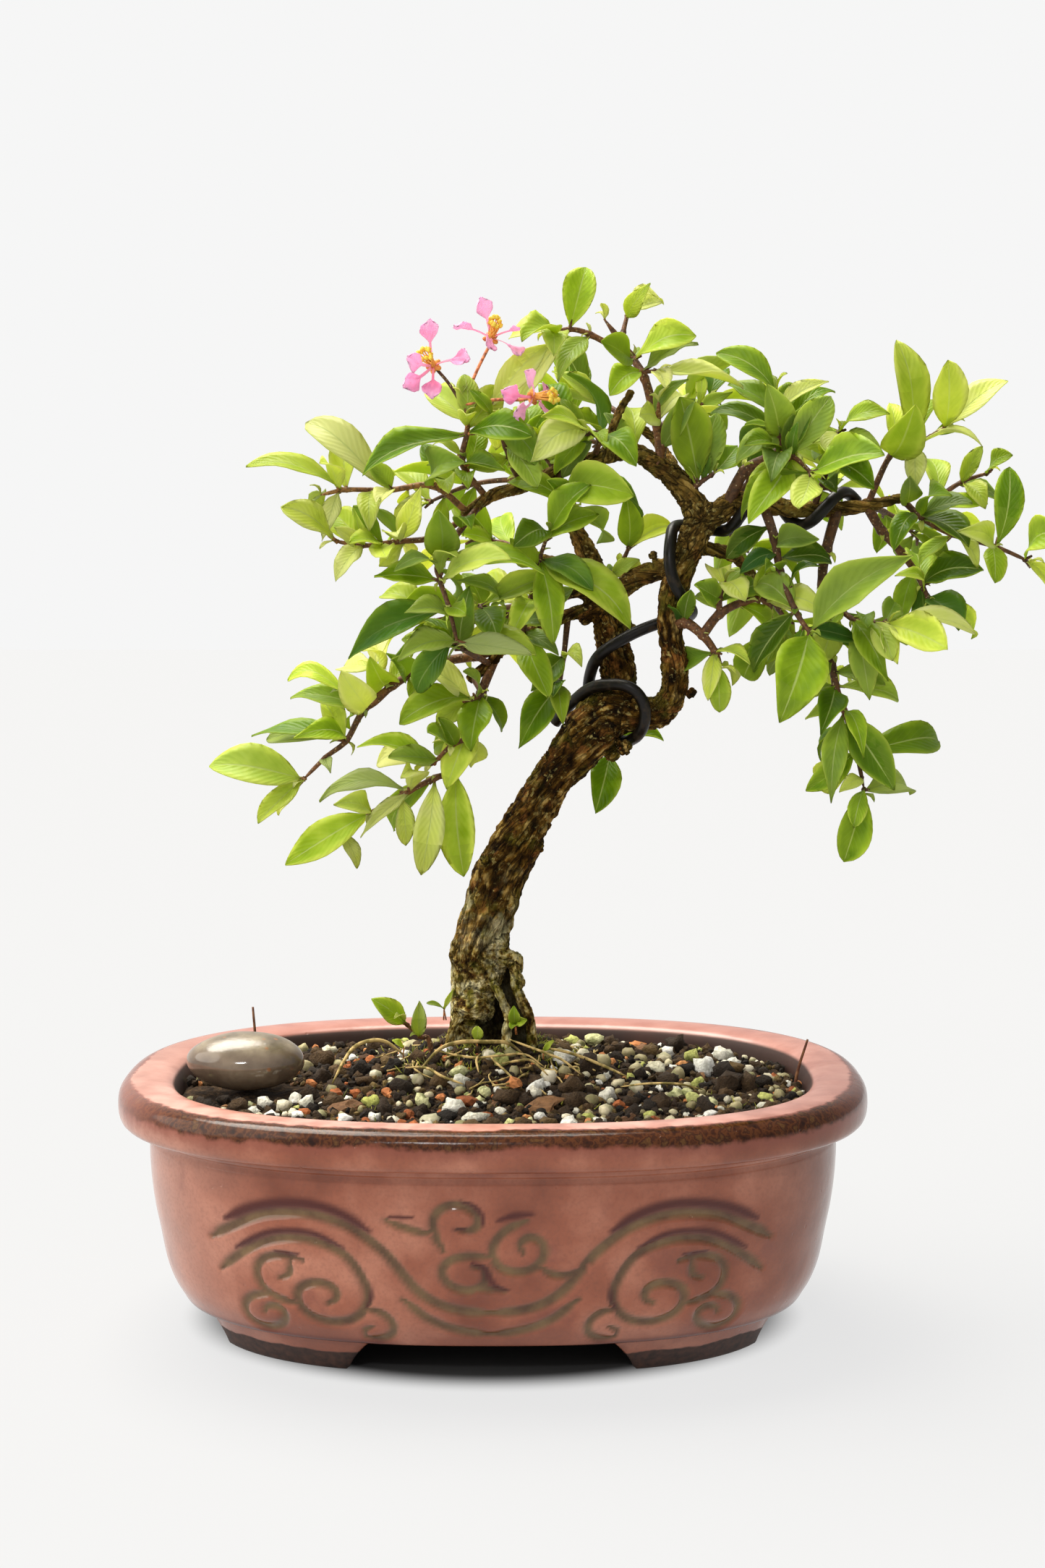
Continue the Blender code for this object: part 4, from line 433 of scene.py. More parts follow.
         (2, 44, 22, 191, 7, 50), (1, 37, 30, 176, 6, 60)])]),
    "trunk_shoot": (0.3, 0, [
        ([(31, 14, 145), (30, 25, 138), (29, 27, 134)], [(2, 25, 18, 120, 9, 70),
         (1, 42, 22, 138, 7, 40)])]),
    "seedling": (0.5, 0, [
        ([(-15, 3, 48), (-15.5, 2.5, 65), (-18, 2, 67), (-21, 1, 70)], [(3, -29, -3, 77, 6, 70),
         (2, -18, 0, 76, 4, 70)], 0.7, 0.6)]),
}
# Shoots on the hidden side: youth, filling, how many leaves each has, and their routes
BACK_YOUTH = 0.45
BACK_FILLING = 0.7
BACK_LEAVES = 5
BACK_SHOOTS = {
    "back_left_tip_shoot": [(9, 50, 184), (2, 55, 187), (-6, 58, 188)],
    "back_left_low_shoot": [(18, 40, 181), (12, 46, 173), (6, 50, 166)],
    "back_left_inner_shoot": [(24, 29, 175), (12, 32, 171), (1, 34, 168), (-8, 36, 166)],
    "back_right_tip_shoot": [(70, 48, 200), (79, 54, 202), (88, 58, 201)],
    "back_right_low_shoot": [(58, 36, 195), (62, 44, 188), (66, 52, 181)],
    "back_right_top_shoot": [(58, 36, 195), (66, 34, 204), (74, 34, 211)],
    "back_crown_shoot": [(32, 39, 219), (26, 45, 223), (19, 50, 225)],
    "back_crown_right_shoot": [(39, 30, 213), (46, 34, 219), (54, 38, 222)],
    "back_crown_left_shoot": [(44, 20, 205), (30, 26, 210), (18, 30, 213)],
    "far_back_shoot": [(90, 10, 195), (96, 22, 194), (102, 33, 192), (108, 42, 188)],
    "back_hanging_shoot": [(65, 21, 176), (71, 28, 170), (77, 35, 162)],
    "left_back_shoot": [(16, 21, 200), (6, 27, 202), (-6, 31, 201), (-16, 34, 197)],
    "low_back_shoot": [(18, 15, 174), (6, 22, 171), (-6, 26, 169), (-16, 28, 167)],
}

# Flower stalks, petals, stamens
BLOSSOMS = {
    "left": ((-13.6, -10.2, 226.4), (-0.25, -0.95, 0.25), 96),
    "top": ((-0.4, -3.5, 233.4), (0.15, -0.9, 0.45), 108),
    "side": ((9.6, -10.2, 219.2), (0.85, -0.5, 0.15), 60),
}
PETAL_LENGTH = 10.6
# Where each petal points, in degrees from the right, how long it looks from the front (below zero
# where it leans away), how far it rolls about its claw, and how pale it is
PETALS = {
    "left": [(93, 10.6, 0.2, 0.25), (0, 9, 0.6, 0.1), (-84, 8.8, 0.1, 0), (-140, 9.4, 0.8, 0.15),
        (176, 6.8, 1, 0.4)],
    "top": [(106, 9.8, 0.1, 0.6), (172, 8.6, 1.85, 0.3), (3, 8.4, 1.15, 0.3), (-40, 8.6, 0.8, 0.35),
        (-106, 4.2, 0.5, 0.45)],
    "side": [(112, 6.6, 0.4, 0.95), (178, 8.2, 0.5, 0), (-136, 7.6, 0.3, 0.6), (-62, -3.6, 0.4, 0.5),
        (40, -3.6, 0.4, 0.5)],
}
# Which way each flower's anthers lean
ANTHER_LEAN = {"left": (-1.3, 0, 1.7), "top": (0.5, 0, 2.3), "side": (2.2, 0, -0.5)}
CALYX_RADIUS = 1.3
SEPAL_SIZES = Matrix.Diagonal((0.7, 0.7, 1.1, 1))
ANTHER_SIZES = Matrix.Diagonal((0.66, 0.6, 0.7, 1))
PEDICEL_START = Vector((-7, -7, 217.5))

STALKS = {
    "dry_stalk_left": [(-58.5, 8, 50), (-58.4, 8, 62), (-59.1, 8, 73)],
    "dry_stalk_right": [(72.6, -2, 50), (73, -2, 58), (75.6, -2, 67)],
}

# The rule that placed the leaves on the CAD's shoots, which the draws for the leaves repeat
BUD_LENGTH = 1.2
LEAF_STALK_SHARE = 0.07
LEAF_ARCH = (0.03, 0.10)
LEAF_FOLD = (0.12, 0.3)
BACK_LEAF_LENGTH = (15, 21)
BACK_LEAF_SHARE = (0.42, 0.5)
CROWN_MIDDLE = Vector((35, 12, 179))
SETTLE_TRIES = 24
TIP_MATCH = 0.08

# Small young leaves too fine for the CAD: number of the twig, then as in SHOOTS
YOUNG_LEAVES = {
    "upper_left_shoot": [(0, 4, -41, 0, 193, 5, 30)],
    "left_spur_shoot": [(0, 2, -20, -3, 182, 5, 40)],
    "crown_shoot": [(3, 2, 40, 6, 243, 5, 50), (2, 3, 40, -9, 222, 5, 60)],
    "far_right_shoot": [(0, 2, 115, 0, 180, 4, 50)],
    "mid_hanging_shoot": [(1, 2, 94, -14, 158, 5, 60)],
    "low_right_shoot": [(0, 3, 51, -3, 149, 5, 60), (0, 4, 58, 10, 152, 5, 40)],
    "outer_left_shoot": [(0, 6, -38, -10, 132, 4, 60)],
    "inner_left_shoot": [(0, 5, -31, -11, 117, 5, 50)],
    "small_hanging_shoot": [(0, 2, 17, 2, 145, 4, 60), (0, 1, 21, 2, 157, 5, 60)],
}
YOUNG_SHAPE = (0.08, 0.3)
# Filling leaves: tries for each one, length, width for each length, and how far their tips and middles
# stay from other leaves and from the wood
FILLING_TRIES = 40
FILLING_LENGTH = (8, 15.5)
FILLING_SHARE = (0.38, 0.52)
TIP_GAP, HEART_GAP, WOOD_GAP = 3.4, 3.8, 1.5
# Young leaves and buds: how many nodes have none, and their lengths at a node and at a twig's end
BARE_NODES = 0.35
NODE_LEAF = (2.0, 4.0)
END_LEAF = (3.0, 5.0)
# A leaf's stalk, as (way from its foot, radius), and the same for the filling leaves
LEAF_STALK = [(-0.4, 0.62), (0.9, 0.42), (2.4, 0.3)]
SMALL_STALK = [(-0.4, 0.5), (0.7, 0.36), (1.6, 0.28)]
LEAF_LAYERS = ("along", "across", "young", "tone")


def ease(low, high, value):
    """0 below low, 1 above high, and a smooth step between them."""
    share = max(0.0, min(1.0, (value - low) / (high - low)))
    return share * share * (3 - 2 * share)


def between(a, b, share):
    return a + (b - a) * share


def swung(a, b, angle):
    """The way a, swung by an angle towards b."""
    return a * math.cos(angle) + b * math.sin(angle)


def cross_ways(way):
    """Two ways square to a way and to each other."""
    across = way.orthogonal().normalized()
    return across, way.normalized().cross(across)


def smooth_route(points, per_span):
    """Points on a smooth curve through the given ones, with so many to each stretch."""
    rows = [Vector(point) for point in points]
    rows = [rows[0] * 2 - rows[1], *rows, rows[-1] * 2 - rows[-2]]
    result = []
    for a, b, c, d in zip(rows, rows[1:], rows[2:], rows[3:]):
        for step in range(per_span):
            t = step / per_span
            result.append((b * 2 + (c - a) * t + (a * 2 - b * 5 + c * 4 - d) * t ** 2
                           + (b * 3 - a - c * 3 + d) * t ** 3) / 2)
    result.append(rows[-2])
    return result


def run_lengths(points):
    """How far along their line each of the points lies."""
    lengths = [0.0]
    for a, b in zip(points, points[1:]):
        lengths.append(lengths[-1] + (b - a).length)
    return lengths


def resampled(points, pitch):
    """The same line with its points at an even pitch."""
    lengths = run_lengths(points)
    count = max(1, round(lengths[-1] / pitch))
    result, span = [], 0
    for step in range(count + 1):
        want = lengths[-1] * step / count
        while span < len(points) - 2 and lengths[span + 1] < want:
            span += 1
        share = (want - lengths[span]) / (lengths[span + 1] - lengths[span])
        result.append(points[span].lerp(points[span + 1], share))
    return result


def search_points(points):
    tree = KDTree(len(points))
    for index, point in enumerate(points):
        tree.insert(point, index)
    tree.balance()
    return tree


def ball(bm, level, at=Matrix(), radius=1.0):
    return bmesh.ops.create_icosphere(bm, subdivisions=level, radius=radius, matrix=at)["verts"]


def float_layers(bm, *names):
    return {name: bm.verts.layers.float.new(name) for name in names}


def as_mesh(name, bm):
    mesh = bpy.data.meshes.new(name)
    bm.to_mesh(mesh)
    bm.free()
    return mesh


def add_object(name, data):
    made = bpy.data.objects.new(name, data)
    bpy.context.scene.collection.objects.link(made)
    return made


def evaluated(data, voxel=0):
    """The mesh of a curve, or of a mesh whose parts are blended into one skin of small voxels."""
    guide = add_object(data.name, data)
    if voxel:
        remesh = guide.modifiers.new("blend", "REMESH")
        remesh.mode = "VOXEL"
        remesh.voxel_size = voxel
    graph = bpy.context.evaluated_depsgraph_get()
    shape = bpy.data.meshes.new_from_object(guide.evaluated_get(graph))
    bpy.data.objects.remove(guide, do_unlink=True)
    return shape


def paint(parts, number):
    """Give faces the piece's material of that number."""
    for part in parts:
        if isinstance(part, bmesh.types.BMFace):
            part.material_index = number


def paint_from(bm, first, number):
    bm.faces.ensure_lookup_table()
    paint(bm.faces[first:], number)


def soften(bm, rounds, factor):
    for _ in range(rounds):
        bmesh.ops.smooth_vert(bm, verts=bm.verts, factor=factor,
                              use_axis_x=True, use_axis_y=True, use_axis_z=True)


def tapered(line, radius):
    """A tube along a line, whose radius follows from the share of the way."""
    return [(*place, radius(index / len(line))) for index, place in enumerate(line)]


def add_tubes(bm, tubes, level, finish=0):
    """Add round tubes with closed ends, each a list of (x, y, z, radius), and return their points."""
    curve = bpy.data.curves.new("tubes", "CURVE")
    curve.dimensions = "3D"
    curve.bevel_depth = 1.0
    curve.bevel_resolution = level
    curve.use_fill_caps = True
    for tube in tubes:
        line = curve.splines.new("POLY")
        line.points.add(len(tube) - 1)
        for point, (x, y, z, radius) in zip(line.points, tube):
            point.co = (x, y, z, 1.0)
            point.radius = radius
    first_vert, first_face = len(bm.verts), len(bm.faces)
    bm.from_mesh(evaluated(curve))
    paint_from(bm, first_face, finish)
    bm.verts.ensure_lookup_table()
    bmesh.ops.remove_doubles(bm, verts=bm.verts[first_vert:], dist=1e-4)
    bm.verts.ensure_lookup_table()
    return bm.verts[first_vert:]


def finish_piece(name, bm, finishes, nodes=(), smooth=True):
    """Turn a piece into an object in the frame, which rides on the body and stands for CAD nodes."""
    bmesh.ops.recalc_face_normals(bm, faces=bm.faces)
    bmesh.ops.scale(bm, vec=(MM, MM, MM), verts=bm.verts)
    bmesh.ops.translate(bm, vec=MIDDLE, verts=bm.verts)
    mesh = as_mesh(name, bm)
    for finish in finishes:
        mesh.materials.append(finish)
    if smooth:
        mesh.shade_smooth()
    piece = add_object(name, mesh)
    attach(piece, "root")
    if nodes:
        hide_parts(*nodes)


def tint(red, green, blue):
    """A colour as it shows on a screen, 0 to 255, turned into linear light."""
    shares = [value / 255 for value in (red, green, blue)]
    return (*(share / 12.92 if share < 0.04 else ((share + 0.055) / 1.055) ** 2.4 for share in shares), 1.0)


class Nodes:
    """A tree of shader nodes, for a material or for the world."""

    def __init__(self, tree):
        self.tree = tree

    def join(self, socket, value):
        """Feed a socket with a value or with another node's output."""
        if isinstance(value, bpy.types.NodeSocket):
            self.tree.links.new(value, socket)
        else:
            socket.default_value = value

    def add(self, kind, inputs, output=0, **settings):
        """Add a node, feed its inputs, and return one output."""
        node = self.tree.nodes.new("ShaderNode" + kind)
        for name, value in settings.items():
            setattr(node, name, value)
        for name, value in inputs.items():
            self.join(node.inputs[name], value)
        return node.outputs[output]


class Finish(Nodes):
    """A procedural material: a shader, its nodes, and the colour so far. Its lengths are in millimetres."""

    def __init__(self, name, roughness=0.5, sheen=0.4):
        self.made = bpy.data.materials.new(name)
        self.made.use_nodes = True
        super().__init__(self.made.node_tree)
        self.shader = self.tree.nodes["Principled BSDF"]
        self.feed("Roughness", roughness)
        self.feed("Specular IOR Level", sheen)
        place = self.add("TexCoord", {}, "Object")
        self.place = self.add("Mapping", {"Vector": place, "Scale": [1 / MM] * 3})
        self.colour = None

    def feed(self, name, value):
        self.join(self.shader.inputs[name], value)

    def noise(self, size, detail=3.0, shift=0.0):
        place = self.add("Mapping", {"Vector": self.place, "Location": [shift] * 3})
        return self.add("TexNoise", {"Vector": place, "Scale": 1 / size, "Detail": detail})

    def drift(self, size, detail, reach):
        """A noise about zero."""
        return self.times(self.sum(self.noise(size, detail), -0.5), reach)

    def patches(self, size, detail, low, high, shift=0.0):
        """Soft patches, where a noise passes from low to high."""
        return self.step(self.noise(size, detail, shift), low, high)

    def dots(self, size, low, high):
        cells = self.add("TexVoronoi", {"Vector": self.place, "Scale": 1 / size}, "Distance")
        return self.step(cells, low, high)

    def given(self, name):
        """An attribute of the piece's points."""
        return self.add("Attribute", {}, "Fac", attribute_name=name)

    def along(self, axis):
        """How far a point lies from the pot's centre along X, Y or Z."""
        middle = MIDDLE["XYZ".index(axis)] / MM
        return self.sum(self.add("SeparateXYZ", {"Vector": self.place}, axis), -middle)

    def step(self, value, low, high):
        """0 below low, 1 above high; the other way round where low is the larger."""
        inputs = {"Value": value, "From Min": low, "From Max": high}
        return self.add("MapRange", inputs, interpolation_type="SMOOTHSTEP")

    def chain(self, operation, values):
        result = values[0]
        for value in values[1:]:
            result = self.add("Math", {0: result, 1: value}, operation=operation)
        return result

    def sum(self, *values):
        return self.chain("ADD", values)

    def times(self, *values):
        return self.chain("MULTIPLY", values)

    def larger(self, *values):
        return self.chain("MAXIMUM", values)

    def size(self, value):
        """A value without its sign."""
        return self.add("Math", {0: value}, operation="ABSOLUTE")

    def blend(self, share, a, b, mode="MIX"):
        """Colour a, with so much of colour b."""
        return self.add("Mix", {0: share, 6: a, 7: b}, 2, data_type="RGBA", blend_type=mode)

    def ramp(self, value, *stops):
        """Colours at steps of a value, each stop as (position, red, green, blue)."""
        node = self.tree.nodes.new("ShaderNodeValToRGB")
        self.tree.links.new(value, node.inputs[0])
        points = node.color_ramp.elements
        while len(points) < len(stops):
            points.new(0.5)
        for point, (position, *colour) in zip(points, stops):
            point.position = position
            point.color = tint(*colour)
        return node.outputs[0]

    def coat(self, share, strength, *colour):
        """Lay so much of a plain colour, or of a node's, over the colour so far."""
        over = tint(*colour) if len(colour) == 3 else colour[0]
        self.colour = self.blend(self.times(share, strength), self.colour, over)

    def relief(self, height, depth):
        """Bumps of so many millimetres."""
        self.feed("Normal", self.add("Bump", {"Height": height, "Distance": depth * MM, "Strength": 1.0}))

    def glow_through(self, share, colour):
        """Let light through from behind, as a leaf does."""
        back = self.add("BsdfTranslucent", {"Color": colour})
        mixed = self.add("MixShader", {0: share, 1: self.shader.outputs[0], 2: back})
        self.join(self.tree.nodes["Material Output"].inputs["Surface"], mixed)

    def done(self):
        self.feed("Base Color", self.colour)
        return self.made


def glaze_finish(break_start, break_end, inner_start):
    """Dusty pink glaze that breaks purple brown on the rim's shoulder and pools olive in the scrolls, with
    painted light on its left end and painted shade on its right end, low on the wall, at the back of the
    rim's top and in the crease above the feet.
    """
    finish = Finish("pink_glaze")
    step, times, drift = finish.step, finish.times, finish.drift
    across, depth, height = [finish.along(axis) for axis in "XYZ"]
    way = finish.given("way_up")
    rough_way = finish.sum(way, drift(26, 2, 3.4), drift(2.6, 5, 2.6))
    cloud = finish.noise(18, 4)
    finish.colour = finish.ramp(cloud, (0.3, 120, 64, 44), (0.5, 148, 85, 62), (0.72, 178, 116, 92))
    # Painted light: the pot's left end is lighter, as if lit from the left
    finish.coat(step(across, -44, -86), 0.52, 206, 160, 142)
    # Painted shade: the pot's right end is darker
    finish.coat(step(across, 50, 88), 0.58, 86, 58, 44)
    finish.coat(finish.patches(11, 4, 0.56, 0.72, 19.0), 0.35, 112, 62, 54)
    finish.coat(finish.patches(0.8, 3, 0.4, 0.75), 0.22, 104, 66, 54)
    # Painted shade low on the wall, where it curves in under the pot
    finish.coat(step(height, 17, 7), 0.45, 104, 58, 44)
    ring = step(way, break_end - 0.4, break_end + 0.8)
    dusty = finish.ramp(finish.noise(7, 5), (0.3, 172, 114, 98), (0.5, 204, 146, 130), (0.68, 222, 168, 152))
    # Painted shade: the rim's top turns darker towards its back and its right end
    far = finish.larger(step(depth, -10, 50), times(step(across, 30, 88), 0.8))
    dusty = finish.blend(times(far, 0.75), dusty, tint(150, 96, 84))
    finish.coat(ring, 1.0, finish.blend(times(step(across, -62, -86), 0.6), dusty, tint(138, 98, 84)))
    warm = times(step(rough_way, break_start - 2.4, break_start + 1.6),
                 step(rough_way, break_end + 1.2, break_end + 0.2))
    finish.coat(warm, 0.8, 124, 64, 48)
    kept = times(finish.sum(times(step(across, -88, -66), 0.65), 0.35),
                 finish.sum(times(step(across, 90, 72), 0.6), 0.4))
    broken = times(step(rough_way, break_start + 0.9, break_start + 2.2),
                   step(rough_way, break_end + 0.9, break_end - 0.3), kept)
    finish.coat(broken, 0.95, finish.ramp(
        finish.noise(2.2, 6, 7.0), (0.3, 20, 9, 3), (0.42, 52, 25, 9), (0.5, 82, 46, 20), (0.57, 44, 21, 10),
        (0.68, 86, 58, 28), (0.8, 30, 14, 6)))
    olive = finish.ramp(finish.noise(5, 4, 3.0), (0.3, 82, 56, 36), (0.7, 116, 90, 58))
    finish.coat(finish.given("groove"), 1.0, olive)
    # Dark pooled glaze along the strokes, and painted shade in the crease above the feet
    finish.coat(finish.given("pool_and_crease_shade"), 1.0, 74, 26, 18)
    inner = step(way, inner_start - 0.2, inner_start + 1.0)
    finish.coat(inner, 1.0, finish.ramp(cloud, (0.3, 38, 20, 14), (0.7, 66, 38, 28)))
    bare = step(finish.sum(height, drift(7, 3, 2.4)), GLAZE_LINE + 0.35, GLAZE_LINE - 0.2)
    finish.coat(bare, 1.0, finish.ramp(finish.noise(1.6, 5), (0.3, 36, 20, 14), (0.7, 66, 40, 29)))
    matt = finish.larger(times(finish.larger(bare, inner), 0.5), times(ring, 0.12))
    finish.feed("Roughness", finish.sum(matt, 0.17))
    finish.feed("Specular IOR Level", finish.sum(times(broken, -0.2), 0.4))
    pits = times(finish.dots(2.3, 0.2, 0.1), finish.patches(4, 2, 0.55, 0.7))
    waves = finish.sum(times(finish.noise(9, 2), 0.6), times(finish.noise(1.6, 3), 0.1))
    finish.relief(finish.sum(waves, times(pits, -0.25)), 0.3)
    return finish.done()


def earth_finish(name, roughness, sheen, size, stops, grit, relief):
    """Bare clay or fine soil, with grit of a given size and detail."""
    finish = Finish(name, roughness, sheen)
    finish.colour = finish.ramp(finish.noise(size, 5), *stops)
    finish.relief(finish.noise(*grit), relief)
    return finish.done()


def grain_finish(name, roughness, stops, size, relief, green=0.0):
    """Loose grains, each with a shade of its own."""
    finish = Finish(name, roughness, 0.35)
    mottle = finish.ramp(finish.noise(size, 4), (0.3, 120, 112, 98), (0.7, 255, 255, 255))
    finish.colour = finish.blend(0.55, finish.ramp(finish.given("tone"), *stops), mottle, "MULTIPLY")
    if green:
        finish.coat(finish.patches(5, 3, 0.5, 0.62, 3.0), green, 98, 104, 50)
    finish.relief(finish.noise(size * 0.6, 4), relief)
    return finish.done()


def stone_finish():
    """A polished dark olive stone with a paler, rougher top."""
    finish = Finish("dark_polished_stone", sheen=0.6)
    finish.colour = finish.ramp(
        finish.noise(9, 6), (0.3, 70, 58, 49), (0.5, 102, 87, 72), (0.66, 128, 112, 93), (0.8, 88, 74, 62))
    rise = finish.sum(finish.along("Z"), finish.drift(12, 3, 5.0))
    paler_top = finish.step(rise, STONE_CENTRE.z + 1.8, STONE_CENTRE.z + 4.6)
    finish.coat(paler_top, 1.0, finish.ramp(
        finish.noise(5, 6, 13.0), (0.3, 90, 79, 62), (0.5, 121, 108, 88), (0.7, 148, 134, 110)))
    finish.coat(finish.dots(5.0, 0.14, 0.06), 0.7, 150, 100, 62)
    finish.feed("Roughness", finish.sum(finish.times(paler_top, 0.2), 0.09))
    finish.relief(finish.times(finish.noise(1.2, 4), paler_top), 0.06)
    return finish.done()


def bark_finish():
    """Rough brown bark, paler on its knobs and darker between them partly as painted light, with dark cracks
    deepened by painted shade, pale lichen flecks, creamy and mossy near the soil, and painted shade in the
    hollows at its foot.
    """
    finish = Finish("fissured_bark", 0.9, 0.08)
    step, times, noisy, patches = finish.step, finish.times, finish.noise, finish.patches
    grain = finish.add("Attribute", {}, "Vector", attribute_name="grain")

    def grained(size, detail):
        return finish.add("TexNoise", {"Vector": grain, "Scale": 1 / size, "Detail": detail})

    def lines(size, width):
        """Thin winding cracks, where a noise passes its middle."""
        return step(finish.size(finish.sum(grained(size, 3), -0.5)), width, 0.0)

    # Mottled bark that shares a noise with the bumps: paler on the knobs, partly as painted highlight, and
    # darker between them, partly as painted shade
    knobs = finish.sum(times(grained(1.5, 8), 0.6), times(noisy(2.6, 6), 0.4))
    finish.colour = finish.ramp(
        knobs, (0.39, 20, 10, 3), (0.46, 64, 40, 10), (0.54, 112, 80, 26), (0.63, 186, 154, 88))
    finish.coat(patches(8, 5, 0.5, 0.62, 11.0), 0.6, 98, 92, 26)
    finish.coat(patches(4.5, 4, 0.56, 0.66, 23.0), 0.6, 150, 96, 46)
    height = finish.sum(finish.along("Z"), finish.drift(7, 5, 70.0))
    low = step(height, 104.0, 76.0)
    blotch = finish.sum(times(noisy(1.5, 5), 0.42), times(noisy(5.5, 6), 0.58))
    finish.coat(low, 0.9, finish.ramp(
        blotch, (0.39, 34, 18, 6), (0.44, 104, 78, 26), (0.49, 184, 162, 92), (0.56, 246, 234, 180)))
    finish.coat(times(patches(2.8, 5, 0.57, 0.66, 71.0), low), 0.7, 72, 38, 18)
    # Lighter bark higher up, tinted olive as a painted green reflection from the leaves
    finish.coat(step(finish.along("Z"), 165.0, 195.0), 0.4, 150, 124, 60)
    finish.coat(times(patches(3.6, 5, 0.5, 0.62, 41.0), step(height, 116.0, 62.0)), 0.55, 98, 104, 26)
    flecks = times(patches(1.1, 3, 0.57, 0.66, 57.0), patches(9, 3, 0.42, 0.56, 31.0))
    finish.coat(flecks, 0.6, 200, 182, 112)
    # Dark cracks in the bark, deepened with painted shade, and painted shade in the hollows at the trunk's
    # foot
    cracks = finish.larger(times(lines(3.4, 0.045), 0.95), times(lines(1.5, 0.05), 0.55))
    cracks_dark = times(cracks, finish.sum(times(low, -0.5), 0.9))
    dark = finish.larger(times(finish.given("crevice_shade"), 0.95), cracks_dark)
    finish.coat(dark, 1.0, 20, 12, 4)
    bumps = finish.sum(times(grained(1.2, 6), 0.9), times(noisy(2.6, 6), 1.7))
    finish.relief(finish.sum(times(cracks, -0.5), bumps), 0.9)
    return finish.done()


def wire_finish():
    """Matt black wire with a little dust."""
    finish = Finish("black_wire_coat", sheen=0.25)
    dust = finish.patches(2.2, 5, 0.5, 0.75)
    finish.colour = tint(16, 12, 8)
    finish.coat(dust, 0.45, 72, 58, 40)
    finish.feed("Roughness", finish.sum(finish.times(dust, 0.3), 0.38))
    return finish.done()


def leaf_finish(name, roughness, sheen, under):
    """A leaf's face or its underside: dark green when old, lime yellow when young, with a painted glow of
    backlight at its edges.
    """
    finish = Finish(name, roughness, sheen)
    step, times = finish.step, finish.times
    across, kind = finish.size(finish.given("across")), finish.given("tone")
    # The blade turns more lime towards its edges, a painted glow of backlight
    mixed = finish.sum(finish.given("young"), finish.drift(5, 4, 0.4), times(step(across, 0.5, 1.0), 0.16))
    finish.colour = finish.ramp(mixed, (0.0, 44, 82, 4), (0.25, 100, 140, 14), (0.5, 172, 202, 46),
                                (0.75, 236, 248, 108), (1.0, 254, 255, 176))
    if under:
        finish.colour = finish.blend(0.3, finish.colour, tint(150, 164, 84))
    fan = finish.sum(times(finish.given("along"), 10.0), times(across, -3.2))
    wave = finish.add("Math", {0: times(fan, math.tau)}, operation="SINE")
    rib = step(across, 0.07, 0.02)
    finish.coat(times(step(wave, 0.86, 1.0), step(across, 1.0, 0.2)), 0.12, 206, 220, 126)
    finish.coat(rib, 0.6, 214, 226, 150)
    # Painted glow of backlight along the leaf's margin
    finish.coat(step(across, 0.84, 1.0), 0.35, 216, 226, 104)
    # Cool, sage and olive leaves
    finish.coat(step(kind, 0.16, 0.1), 0.5, 44, 104, 52)
    finish.coat(times(step(kind, 0.62, 0.7), step(kind, 0.96, 0.9)), 0.34, 158, 172, 108)
    finish.coat(times(step(kind, 0.22, 0.28), step(kind, 0.46, 0.4)), 0.34, 92, 106, 16)
    tone = finish.ramp(kind, (0.0, 232, 236, 226), (0.5, 254, 254, 254), (1.0, 255, 255, 255))
    finish.colour = finish.blend(1.0, finish.colour, tone, "MULTIPLY")
    through = finish.blend(1.0, finish.colour, tint(255, 250, 150), "MULTIPLY")
    finish.relief(finish.sum(times(wave, 0.5), times(rib, -1.0)), 0.06)
    finish.glow_through(0.45, finish.blend(0.5, through, tint(214, 232, 90), "SCREEN"))
    return finish.done()


def twig_finish():
    """Young red brown twigs with pale pores and painted shade in the hollows of their bumps, salmon at their
    ends and on the flower stalks.
    """
    finish = Finish("young_twig", 0.6, 0.35)
    stops = [(0, 84, 54, 28), (0.45, 122, 78, 42), (0.8, 170, 122, 64), (1, 222, 132, 84)]
    finish.colour = finish.ramp(finish.given("young"), *stops)
    rough = finish.noise(0.9, 5)
    # Painted shade in the hollows of the bumps
    finish.coat(finish.step(rough, 0.55, 0.42), 0.6, 48, 30, 16)
    finish.coat(finish.dots(1.0, 0.26, 0.1), 0.6, 196, 174, 128)
    finish.relief(rough, 0.25)
    return finish.done()


def petal_finish():
    """Pink petals, paler towards the claw, that let light through."""
    finish = Finish("pink_petal", 0.6, 0.2)
    mixed = finish.sum(finish.given("along"), finish.drift(2.4, 3, 0.5))
    finish.colour = finish.ramp(mixed, (0.0, 250, 172, 160), (0.42, 250, 136, 170), (0.62, 250, 146, 192),
                                (0.85, 250, 178, 218), (1.0, 253, 214, 240))
    finish.coat(finish.given("pale"), 1.0, 254, 226, 242)
    finish.relief(finish.noise(0.9, 3), 0.15)
    finish.glow_through(0.5, tint(255, 206, 234))
    return finish.done()


def plain_finish(name, colour, roughness, spots=None, size=1.0):
    """One colour, with soft patches of a second one."""
    finish = Finish(name, roughness)
    finish.colour = tint(*colour)
    finish.coat(finish.patches(size, 4, 0.42, 0.62), 1.0, *(spots or colour))
    return finish.done()


def mesh_finish():
    """Black plastic netting, with painted shade in its holes."""
    finish = Finish("black_netting", 0.6)
    holes = finish.dots(2.4, 0.3, 0.2)
    finish.colour = tint(34, 34, 34)
    # Painted shade in the holes
    finish.coat(holes, 1.0, 8, 8, 8)
    finish.relief(holes, -0.6)
    return finish.done()


def plan_place(angle, inset, z):
    """A point of the pot's rounded plan, set in from its greatest length and depth."""
    c, s = math.cos(angle), math.sin(angle)
    reach = (abs(c) ** POT_SQUARENESS + abs(s) ** POT_SQUARENESS) ** (-1 / POT_SQUARENESS)
    return Vector(((POT_LENGTH / 2 - inset) * c * reach, (POT_DEPTH / 2 - inset) * s * reach, z))


